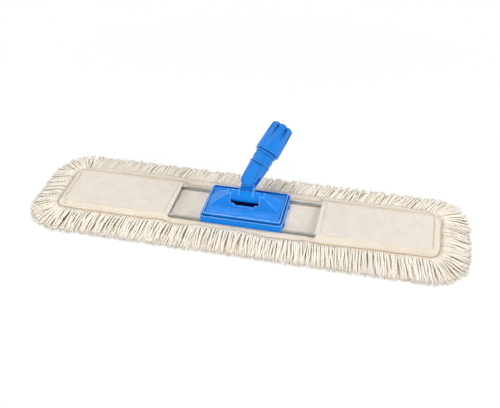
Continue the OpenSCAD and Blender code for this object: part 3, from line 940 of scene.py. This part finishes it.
    def beside_window(self, s: float) -> float:
        """One where the tape lies flat beside the open frame, nought along the pockets."""
        point, _ = self.seam.at(s)
        return smooth((self.mouth + 0.004 - abs(point.x)) / (0.005 if point.y < 0 else 0.014))

    def back_lift(self, s: float) -> float:
        """How far the sewn edge is held up by the yarns at the back."""
        _, out = self.seam.at(s)
        return self.back_rise * smooth(out.y)

    def stitch_line(self, s: float) -> float:
        """Depth of the seam stitches, which run further in along the back."""
        _, out = self.seam.at(s)
        return self.stitch_depth + self.stitch_back * smooth(out.y)

    def tape_profile(self, s: float, depth: float) -> float:
        """Height of the tape's upper face at a depth inside the seam."""
        share = min(1.0, max(0.0, depth / self.tape_width))
        free = self.beside_window(s)
        rise = (self.panel_z[1] + 0.0003 - self.backing_z[1]) * (1.0 - free) + self.flat_rise * free
        lift = self.back_lift(s) * (1.0 - 0.6 * free)
        height = self.backing_z[1] + lift + (rise - lift) * (1.0 - (1.0 - share) ** (1.2 + 2.0 * free))
        low, wide = self.groove
        groove = low * ridge(depth, self.stitch_line(s), wide)
        pucker = self.pucker * wander(s * 115.0, 0.4) * (1.0 - share) ** 0.5
        side, _, on_arc = self.seam.leg(s)
        swell = 0.0
        if side == 1 and not on_arc:
            high, middle, wide = self.right_swell
            swell = high * ridge(depth, middle, wide)
        if side % 2 and not on_arc:
            low, wide = self.end_groove
            swell -= low * ridge(depth, self.end_stitch, wide)
        return height - groove + pucker + swell

    def tape_row(self, s: float, mark: float) -> tuple[float, float]:
        """Depth and height of one row of the tape.

        Args:
            s: distance along the seam.
            mark: the row's entry in TAPE_ROWS.

        Returns:
            The depth inside the seam and the height above the floor.
        """
        free = self.beside_window(s)
        if mark >= INNER:
            edge = self.tape_width - 0.0004 + self.tape_lap * (1.0 - free)
            height = self.tape_profile(s, self.tape_width) - self.tape_foot * (mark - INNER)
            height -= 0.0002 * (1 - free)
            return edge + (0.0 if mark == FOOT else 0.0002), height
        if mark < 0.0:
            return 0.0006, self.backing_z[1] - self.tape_under + self.back_lift(s)
        return mark, self.tape_profile(s, mark)

    def tape(self) -> bpy.types.Object:
        """Builds the tape that is folded over the cloth's edge all the way round."""
        last = len(TAPE_ROWS) - 1
        bm, warmth = cloth_grid(self.tape_steps, last)
        spots: dict[int, tuple[float, float]] = {}
        total = self.seam.length
        for v in bm.verts:
            s = total * ((v.co.x + 1) / 2)
            depth, height = self.tape_row(s, TAPE_ROWS[round((v.co.y + 1) / 2 * last)])
            spots[v.index] = (s, depth)
            v.co = self.seam.inset(s, depth, height)
            # Painted shade: the tape is browner along the groove of the seam stitches.
            tan = 0.6 * ridge(depth, self.stitch_line(s), 0.0016)
            v[warmth] = 0.12 + 0.1 * wander(s * 30, depth * 80) + tan
        lay_map(bm, spots)
        bmesh.ops.remove_doubles(bm, verts=bm.verts, dist=1e-6)
        bmesh.ops.recalc_face_normals(bm, faces=bm.faces)
        top = max(bm.faces, key=lambda f: f.calc_center_median().z)
        if top.normal.z < 0:
            bmesh.ops.reverse_faces(bm, faces=bm.faces)
        piece = finish_piece("binding_tape", mesh_from(bm, "binding_tape"), dressed(TAPE), "mop",
                             ("edge_binding",))
        thicken(piece, self.tape_thick)
        return piece

    def stitch(self, points: list[Vector], rng: random.Random) -> Strand:
        """One short stitch of thread."""
        return Strand(points, [0.0004, 0.00066, 0.0004], rng.random())

    def tape_stitch(self, s: float, depth: float, rng: random.Random) -> Strand:
        """One stitch along the seam, on the tape at a depth inside it."""
        points = []
        for t, lift in ((0.0, -0.0002), (0.5, 0.0004), (1.0, -0.0002)):
            place = s + self.dash * t
            points.append(self.seam.inset(place, depth, self.tape_profile(place, depth) + lift))
        return self.stitch(points, rng)

    def hem_stitches(self, x: float, rng: random.Random) -> list[Strand]:
        """The row of stitches across one hem."""
        row = []
        for i in range(round(2 * self.wire_y / self.pitch)):
            y = -self.wire_y + i * self.pitch
            row.append(self.stitch([
                Vector((x, y + self.dash * t, self.top_height(x, y + self.dash * t) + 0.0008 + lift))
                for t, lift in ((0.0, -0.0003), (0.5, 0.0003), (1.0, -0.0003))], rng))
        return row

    def stitches(self) -> tuple[bpy.types.Object, bpy.types.Object]:
        """Builds the brown seam stitches and the pale stitches of the ends and hems."""
        rng = random.Random(4)
        seam, pale = StrandBundle("seam_stitches"), StrandBundle("hem_stitches")
        for i in range(round(self.seam.length / self.pitch)):
            s = i * self.pitch
            seam.strands.append(self.tape_stitch(s, self.stitch_line(s), rng))
        right_end = self.seam.run_x + self.seam.arc
        left_end = 2 * self.seam.run_x + self.seam.run_y + 3 * self.seam.arc
        for start in (right_end, left_end):
            for i in range(round(self.seam.run_y / self.pitch)):
                pale.strands.append(self.tape_stitch(start + i * self.pitch, self.end_stitch, rng))
        for side in (-1, 1):
            pale.strands.extend(self.hem_stitches(side * (self.mouth + self.hem_stitch), rng))
        brown_piece = finish_piece(seam.name, seam.sweep(), dressed(SEAM_THREAD), "mop")
        return brown_piece, finish_piece(pale.name, pale.sweep(), dressed(HEM_THREAD), "mop")


# ---------------------------------------------------------------- yarn

class Layer(Enum):
    """Layers of the fringe, from the one on top down to the floor."""

    TOP = 0
    MIDDLE = 1
    LOW = 2


@dataclass(frozen=True)
class LayerLook:
    """How one layer of the fringe lies: height, more of it at the back, tone, pull to bunches, spacing."""

    lift: float
    back_lift: float
    tone: float
    pull: float
    spacing: float


# Tone of each layer: the lower layers are tan and darker, painted shade deep in the fringe.
LOOKS = {Layer.TOP: LayerLook(1.0, 0.0, 0.90, 0.13, 1.0),
         Layer.MIDDLE: LayerLook(0.62, 0.24, 0.72, 0.13, 1.0),
         Layer.LOW: LayerLook(0.26, 0.4, 0.15, 0.05, 0.6)}
# Heights in mm along a yarn of the top layer, from its root to its tip.
RAISED: Pairs = ((0.0, 16.2), (0.25, 18.0), (0.55, 18.2), (0.8, 17.2), (1.0, 15.5))
FALLEN: Pairs = ((0.0, 13.6), (0.2, 15.2), (0.45, 12.6), (0.75, 7.4), (1.0, 3.2))
ENDED: Pairs = ((0.0, 13.8), (0.25, 15.6), (0.5, 13.6), (0.8, 8.8), (1.0, 5.0))
# Sideways lean in degrees by the place along the mop.
FRONT_FAN: Pairs = ((-0.36, -8.0), (-0.2, -5.0), (0.0, 1.0), (0.2, 7.0), (0.36, 14.0))
BACK_FAN: Pairs = ((-0.36, -3.0), (-0.3, 7.0), (-0.1, 12.0), (0.0, 14.0), (0.2, 20.0), (0.36, 24.0))


@dataclass
class YarnFringe:
    """Loose cotton yarns sewn under the edge, in layers, leaning and bunching as they lie."""

    seam: SeamLine
    reach: float
    pitch: float = 0.0039
    yarn_r: float = 0.0018
    root_in: float = 0.0035
    bunch_size: float = 0.024
    stray: float = 3.6
    wave: tuple[float, float] = (0.0006, 0.0022)
    frayed: tuple[float, float] = (0.003, 0.0065)
    ply_r: tuple[float, float, float] = (0.00085, 0.0007, 0.0003)
    rings: int = 9
    seed: int = 11

    def places(self, step: float, rng: random.Random) -> list[float]:
        """Spreads roots along the seam, closer together round the corners.

        Args:
            step: spacing along the straight sides.
            rng: source of the scatter.

        Returns:
            Distances along the seam.
        """
        found, s = [], 0.0
        while s < self.seam.length:
            _, _, on_arc = self.seam.leg(s)
            gap = step * (0.52 if on_arc else 1.0)
            found.append(s + gap * rng.uniform(-0.28, 0.28))
            s += gap
        return found

    def fan(self, point: Vector) -> float:
        """Sideways lean of the yarns at a place, spreading from the middle."""
        return math.radians(ramp(point.x, FRONT_FAN if point.y < 0 else BACK_FAN))

    def bunch(self, s: float, layer: Layer) -> float:
        """Sideways way to the nearest bunch, in metres."""
        cell = math.floor(s / self.bunch_size)
        best = 1.0
        for k in (cell - 1, cell, cell + 1):
            centre = (k + 0.5 + 0.38 * wander(k * 1.7, layer.value * 5.0 + 0.5)) * self.bunch_size
            if abs(centre - s) < abs(best):
                best = centre - s
        return best

    def strand(self, s: float, layer: Layer, rng: random.Random) -> Strand:
        """Lays one yarn out from its root.

        Args:
            s: place of the root along the seam.
            layer: layer of the fringe.
            rng: source of the scatter.

        Returns:
            The yarn.
        """
        look = LOOKS[layer]
        point, out = self.seam.at(s)
        heading = Vector((-out.y, out.x, 0.0))
        front, back = max(0.0, -out.y), max(0.0, out.y)
        sway = self.fan(point) * (abs(out.y) ** 0.7) * (1.0 if out.y < 0 else -1.0)
        sway += math.radians(rng.gauss(0.0, self.stray))
        scatter = 0.03 * wander(s * 20, layer.value) + 1.0
        reach = self.reach * (scatter + rng.uniform(-0.06, 0.03)) - self.seam.shift(s)
        pull = self.bunch(s, layer) * look.pull
        wave, phase, turns = rng.uniform(*self.wave), rng.uniform(0, 2 * math.pi), rng.uniform(0.6, 1.3)
        lift = look.lift + look.back_lift * back
        bob, heave = rng.uniform(-1.0, 1.0), 0.0022 if back > 0.3 else 0.0012
        radius = self.yarn_r * rng.uniform(0.86, 1.14)
        root = point + out * (self.seam.shift(s) - self.root_in)
        points, radii = [], []
        for i in range(self.rings):
            t = i / (self.rings - 1)
            height = (ramp(t, FALLEN) * front + ramp(t, RAISED) * back
                      + ramp(t, ENDED) * max(0.0, 1.0 - front - back)) / max(1.0, front + back)
            height = height * lift * MM + bob * t * heave
            side = (math.tan(sway) * reach * t + pull * smooth(t * 1.15 - 0.1)
                    + wave * t * math.sin(phase + 2 * math.pi * turns * t))
            thick = radius * (1.12 - 0.12 * smooth(t / 0.4)) * (1.0 if t < 0.95 else 0.86)
            place = root + out * (reach * t + self.root_in) + heading * side
            points.append(Vector((place.x, place.y, max(height, thick + 0.0002))))
            radii.append(thick)
        return Strand(points, radii, min(1.0, max(0.0, look.tone + rng.gauss(0.0, 0.12))))

    def owner(self, s: float) -> str:
        """CAD node whose stretch of the seam holds a place."""
        side, _, on_arc = self.seam.leg(s)
        if on_arc:
            return "fringe_right" if side < 2 else "fringe_left"
        return ("fringe_front", "fringe_right", "fringe_back", "fringe_left")[side]

    def fray(self, yarn: Strand, rng: random.Random) -> list[Strand]:
        """Loose plies that spread from the end of a yarn."""
        end = yarn.points[-1]
        ahead = (end - yarn.points[-2]).normalized()
        side = Vector((-ahead.y, ahead.x, 0.0))
        loose = []
        for k in (-1, 0, 1):
            length = rng.uniform(*self.frayed)
            spread = side * (k * 0.45 + rng.uniform(-0.2, 0.2))
            spread += Vector((0.0, 0.0, rng.uniform(-0.25, 0.3)))
            points = [end - ahead * 0.0012 + side * k * 0.0009]
            for step in (0.5, 1.0):
                point = end + (ahead + spread * step) * length * step
                points.append(Vector((point.x, point.y, max(point.z, 0.0006))))
            loose.append(Strand(points, list(self.ply_r), rng.uniform(0.5, 1.0)))
        return loose

    def build(self) -> list[bpy.types.Object]:
        """Builds the four sides of the fringe and the frayed ends of its yarns."""
        rng = random.Random(self.seed)
        bundles = {n: StrandBundle(n.replace("fringe", "yarn_fringe")) for n in
                   ("fringe_front", "fringe_right", "fringe_back", "fringe_left")}
        frayed = StrandBundle("frayed_ends", sides=4)
        for layer in Layer:
            for s in self.places(self.pitch * LOOKS[layer].spacing, rng):
                yarn = self.strand(s, layer, rng)
                bundles[self.owner(s)].strands.append(yarn)
                if layer is not Layer.LOW:
                    frayed.strands.extend(self.fray(yarn, rng))
        pieces = [finish_piece(b.name, b.sweep(), dressed(YARN), "mop", (node,))
                  for node, b in bundles.items()]
        pieces.append(finish_piece(frayed.name, frayed.sweep(), dressed(YARN), "mop"))
        return pieces


@dataclass
class YarnPile:
    """Short looped tufts under the backing, on which the mop lies."""

    half_x: float
    half_y: float
    top: float
    pitch: float = 0.0074
    yarn_r: float = 0.0024
    seed: int = 23

    def build(self) -> bpy.types.Object:
        """Builds the rows of tufts."""
        rng = random.Random(self.seed)
        bundle = StrandBundle("yarn_tufts")
        across, along = int(2 * self.half_y / self.pitch), int(2 * self.half_x / self.pitch)
        for j in range(across):
            for i in range(along):
                column = i + 0.5 + 0.5 * (j % 2) + rng.uniform(-0.2, 0.2)
                row = j + 0.5 + rng.uniform(-0.2, 0.2)
                x = -self.half_x + column * 2 * self.half_x / (along + 0.5)
                y = -self.half_y + row * 2 * self.half_y / across
                bundle.strands.append(self.tuft(x, y, rng))
        return finish_piece(bundle.name, bundle.sweep(), dressed(YARN), "mop", ("yarn_pile",))

    def tuft(self, x: float, y: float, rng: random.Random) -> Strand:
        """One tuft that bends over where it meets the floor."""
        angle = rng.uniform(0, 2 * math.pi)
        lean = Vector((math.cos(angle), math.sin(angle), 0.0)) * rng.uniform(0.003, 0.007)
        radius = self.yarn_r * rng.uniform(0.9, 1.1)
        low = radius + rng.uniform(0.0, 0.0012)
        points = []
        for t, height in ((0.0, self.top), (0.35, self.top * 0.62), (0.75, self.top * 0.30), (1.0, low)):
            place = Vector((x, y, max(low, height))) + lean * t * t
            place.x = min(self.half_x, max(-self.half_x, place.x))
            place.y = min(self.half_y, max(-self.half_y, place.y))
            points.append(place)
        return Strand(points, [radius * 0.9, radius, radius, radius * 0.9], rng.uniform(0.35, 0.85))


# ---------------------------------------------------------------- moulded joint and metal

@dataclass
class RigidPieces:
    """The moulded connector, yoke, socket and collar with eased edges, and the metal parts.

    An edge sharper than 'sharp' is rounded by 'ease'. Two faces keep a crisp line between them above the
    angles of 'crisp', with none, one or both of them rounded. An edge stays sharp where a face has less than
    'room' eases behind it, tested every 'probe', or where an edge under 'short' eases crosses its end by more
    than 'turn'.
    """

    lip: tuple[Vector, Vector]
    ease: float = 0.0007
    sharp: float = math.radians(26)
    crisp: tuple[float, float, float] = (math.radians(11), math.radians(12), math.radians(48))
    room: float = 1.5
    probe: float = 0.004
    short: float = 2.4
    turn: float = math.radians(30)
    flat_turn: float = math.radians(1.5)

    def cramped(self, loop: bmesh.types.BMLoop) -> bool:
        """Whether a face is too shallow behind one of its edges for the rounding."""
        start, end = loop.vert.co, loop.link_loop_next.vert.co
        along = (end - start).normalized()
        inward = loop.face.normal.cross(along)
        count = max(1, int((end - start).length / self.probe))
        for k in range(count):
            place = start.lerp(end, (k + 0.5) / count)
            for other in loop.face.edges:
                a, b = (v.co - place for v in other.verts)
                left, right = a.dot(along), b.dot(along)
                if other is loop.edge or left * right > 0 or left == right:
                    continue
                behind = a.dot(inward) + (b - a).dot(inward) * left / (left - right)
                if 0 < behind < self.room * self.ease:
                    return True
        return False

    def pinched(self, edge: bmesh.types.BMEdge) -> bool:
        """Whether a very short edge crosses one end of an edge."""
        along = (edge.verts[1].co - edge.verts[0].co).normalized()
        for other in (e for v in edge.verts for e in v.link_edges if e is not edge):
            way = (other.verts[1].co - other.verts[0].co).normalized()
            if other.calc_length() < self.short * self.ease and abs(way.dot(along)) < math.cos(self.turn):
                return True
        return False

    def roundable(self, edge: bmesh.types.BMEdge) -> bool:
        """Whether an edge stands out sharply and has room to be rounded."""
        if len(edge.link_faces) != 2 or not edge.is_convex or edge.calc_face_angle(0.0) < self.sharp:
            return False
        return not self.pinched(edge) and not any(self.cramped(loop) for loop in edge.link_loops)

    def highlight_rim(self, place: Vector) -> float:
        """One on the narrow top of the plate's raised lip, which gets a painted highlight, nought elsewhere.
        """
        low, high = self.lip
        if abs(place.x) < low.x and abs(place.y) < low.y:
            return 0.0
        return smooth((place.z - low.z) / (high.z - low.z))

    def round_edges(self, bm: bmesh.types.BMesh) -> set[bmesh.types.BMFace]:
        """Rounds the sharp edges of a closed mesh and returns its narrow rounded faces."""
        bmesh.ops.remove_doubles(bm, verts=bm.verts, dist=1e-5)
        bmesh.ops.dissolve_limit(bm, angle_limit=self.flat_turn, verts=bm.verts, edges=bm.edges)
        made = bmesh.ops.bevel(
            bm, geom=[e for e in bm.edges if self.roundable(e)], offset=self.ease, offset_type="OFFSET",
            affect="EDGES", segments=2, profile=0.5, material=-1, clamp_overlap=False, loop_slide=True)
        bmesh.ops.remove_doubles(bm, verts=bm.verts, dist=3e-6)
        bm.normal_update()
        return {f for f in made["faces"]
                if f.is_valid and f.calc_area() < 0.7 * self.ease * f.calc_perimeter()}

    def eased(self, node: str, name: str, finish: PlasticFinish) -> bpy.types.Object:
        """Rounds the sharp edges on a copy of a CAD node.

        Args:
            node: the CAD node.
            name: name of the new piece.
            finish: its finish.

        Returns:
            The new piece.
        """
        bm = bmesh.new()
        bm.from_mesh(frame["nodes"][node].data)
        rounded = self.round_edges(bm)
        # The 'edge' value marks the rounded strips, and on the shell the lip's top, for a painted highlight.
        tint_mask = bm.verts.layers.float.new("edge")
        for v in bm.verts:
            v[tint_mask] = 1.0 if v.link_faces and all(f in rounded for f in v.link_faces) else 0.0
            if node == "connector_shell":
                v[tint_mask] = max(v[tint_mask], self.highlight_rim(v.co))
        for edge in bm.edges:
            edge.smooth = edge.calc_face_angle(0.0) < self.crisp[sum(f in rounded for f in edge.link_faces)]
        bmesh.ops.triangulate(bm, faces=[f for f in bm.faces if len(f.verts) > 4])
        bm.edges.index_update()
        creases = [e.index for e in bm.edges if not e.smooth]
        mesh = mesh_from(bm, name)
        piece = finish_piece(name, mesh, dressed(finish), body_of_node(node), (node,))
        if "custom_normal" in mesh.attributes:
            mesh.attributes.remove(mesh.attributes["custom_normal"])
        for index in creases:
            mesh.edges[index].use_edge_sharp = True
        flats = piece.modifiers.new("flat_faces", "WEIGHTED_NORMAL")
        flats.mode, flats.weight, flats.keep_sharp = "FACE_AREA", 90, True
        return piece

    def keep(self, node: str, finish: PlasticFinish | MetalFinish) -> None:
        """Dresses a CAD node that keeps its own shape."""
        piece = frame["nodes"][node]
        piece.data.materials.clear()
        piece.data.materials.append(dressed(finish))
        LOG.info("dressed %s", node)

    def build(self) -> None:
        """Builds the mouldings and dresses the metal."""
        for node, name, finish in (
                ("connector_shell", "connector_moulding", BLUE), ("yoke", "yoke_moulding", BLUE),
                ("handle_socket", "socket_moulding", GRIP_BLUE),
                ("locking_collar", "collar_moulding", GRIP_BLUE)):
            self.eased(node, name, finish)
        for node, finish in (
                ("clamp_plate", DARK_BLUE), ("clamp_collet", GREY_PLASTIC), ("left_wire", ZINC),
                ("right_wire", ZINC), ("clamp_screws", STEEL), ("trunnion_pin", STEEL), ("fork_pin", STEEL)):
            self.keep(node, finish)


# ---------------------------------------------------------------- studio

@dataclass
class Studio:
    """Camera, pale floor and soft light."""

    place: Vector = field(default_factory=lambda: Vector((0.2753, -1.1955, 0.9646)))
    target: Vector = field(default_factory=lambda: Vector((0.0022, 0.0272, 0.0150)))
    lens: float = 53.46
    sensor: float = 36.0
    floor_half: float = 12.0
    floor_z: float = -0.0004
    glow: tuple[float, float, float] = (0.5, 1.1, 0.72)
    sky: float = 0.26

    def camera(self) -> None:
        """Sets the camera at the photograph's angle."""
        data = bpy.data.cameras.new("camera")
        data.lens = self.lens
        data.sensor_width = self.sensor
        made = place_object("camera", data)
        made.location = self.place
        made.rotation_euler = (self.target - self.place).to_track_quat("-Z", "Y").to_euler()
        bpy.context.scene.camera = made

    def seen(self, t: Tree) -> Socket:
        """One for rays from the camera, a mirror or clear matter, and nought for light."""
        path = t.node("ShaderNodeLightPath")
        rays = t.math("MAXIMUM", path.outputs["Is Camera Ray"], path.outputs["Is Glossy Ray"])
        return t.math("MAXIMUM", rays, path.outputs["Is Transmission Ray"])

    def floor(self) -> None:
        """Lays the white floor, which keeps a faint shadow near the mop."""
        bm = bmesh.new()
        bmesh.ops.create_grid(bm, x_segments=2, y_segments=2, size=self.floor_half)
        bmesh.ops.translate(bm, verts=bm.verts, vec=(0.0, 0.0, self.floor_z))
        mesh = mesh_from(bm, "floor")
        material = bpy.data.materials.new("white_floor")
        t = empty_tree(material)
        matt, glow = t.node("ShaderNodeBsdfDiffuse"), t.node("ShaderNodeEmission")
        settle(matt, {"Color": (0.9, 0.9, 0.9, 1.0)})
        both = t.node("ShaderNodeMixShader")
        far = t.node("ShaderNodeVectorMath", operation="LENGTH")
        t.feed(t.node("ShaderNodeTexCoord").outputs["Object"], far.inputs[0])
        t.feed(t.times(self.seen(t), t.spread(far.outputs["Value"], *self.glow)), both.inputs[0])
        t.feed(matt.outputs[0], both.inputs[1])
        t.feed(glow.outputs[0], both.inputs[2])
        t.feed(both.outputs[0], t.node("ShaderNodeOutputMaterial").inputs["Surface"])
        mesh.materials.append(material)
        place_object("floor", mesh)

    def lamp(self, name: str, place: tuple[float, float, float], size: float, power: float,
             mirrored: bool = False) -> None:
        """Hangs one soft square lamp that faces the mop.

        Args:
            name: name of the lamp.
            place: its middle.
            size: length of its side.
            power: its power in watts.
            mirrored: whether glossy surfaces show it.
        """
        data = bpy.data.lights.new(name, "AREA")
        data.size = size
        data.energy = power
        made = place_object(name, data)
        made.location = place
        made.rotation_euler = (-Vector(place)).to_track_quat("-Z", "Y").to_euler()
        made.visible_glossy = mirrored

    def world(self) -> None:
        """Makes the plain white surround, which mirrors darker from the front."""
        world = bpy.data.worlds.new("studio")
        t = empty_tree(world)
        sky = t.node("ShaderNodeBackground")
        ahead = t.split(t.node("ShaderNodeTexCoord").outputs["Generated"])["Y"]
        glossy = t.node("ShaderNodeLightPath").outputs["Is Glossy Ray"]
        plain = t.spread(self.seen(t), 0.0, 1.0, self.sky)
        t.feed(t.mix(glossy, plain, t.spread(ahead, -0.5, 0.2, 0.15)), sky.inputs["Strength"])
        settle(sky, {"Color": (1.0, 1.0, 1.0, 1.0)})
        t.feed(sky.outputs[0], t.node("ShaderNodeOutputWorld").inputs["Surface"])
        bpy.context.scene.world = world

    def build(self) -> None:
        """Builds the studio."""
        self.camera()
        self.floor()
        self.lamp("top_lamp", (-0.25, 0.45, 2.3), 1.5, 30.0, mirrored=True)
        self.lamp("front_lamp", (-0.3, -2.3, 0.40), 1.3, 38.0)
        self.lamp("right_lamp", (2.1, 0.2, 1.0), 1.0, 30.0)
        self.lamp("left_lamp", (-2.1, 0.2, 0.9), 1.0, 15.0)
        self.world()
        bpy.context.scene.view_settings.view_transform = "Standard"


# ---------------------------------------------------------------- the mop

def main() -> None:
    """Builds the mop's sub-assemblies in order."""
    logging.basicConfig(level=logging.INFO, format="%(name)s: %(message)s")
    Studio().build()
    shell_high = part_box("connector_shell")[1]
    lip_low = Vector((shell_high.x - 6.7 * MM, shell_high.y - 6.7 * MM, 36.8 * MM))
    lip_high = Vector((shell_high.x - 4.5 * MM, shell_high.y - 4.5 * MM, 37.4 * MM))
    RigidPieces((lip_low, lip_high)).build()
    back_low, back_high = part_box("backing_cloth")
    panel_low, panel_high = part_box("right_pocket")
    wire_low, wire_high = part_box("right_wire")
    fringe_low, pile_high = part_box("fringe_front")[0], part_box("yarn_pile")[1]
    wire_r = (wire_high.z - wire_low.z) / 2
    seam = SeamLine(back_high.x, back_high.y, corner=24 * MM)
    cloth = MopCloth(
        seam, (back_low.z, back_high.z), (panel_low.z, panel_high.z), panel_end=panel_high.x,
        mouth=panel_low.x, wire_y=wire_high.y - wire_r, tape_width=16 * MM, plate_x=shell_high.x)
    fringe = YarnFringe(seam, -fringe_low.y - seam.half_y).build()
    tufts = YarnPile(pile_high.x, pile_high.y, pile_high.z).build()
    backing = cloth.backing()
    left = cloth.pocket(-1, "left_pocket_panel", "left_pocket")
    right = cloth.pocket(1, "right_pocket_panel", "right_pocket")
    left_hem = cloth.hem(-1, "left_mouth_hem", "left_pocket_hem")
    right_hem = cloth.hem(1, "right_mouth_hem", "right_pocket_hem")
    tape = cloth.tape()
    seam_thread, pale_thread = cloth.stitches()


if __name__ == "__main__":
    main()
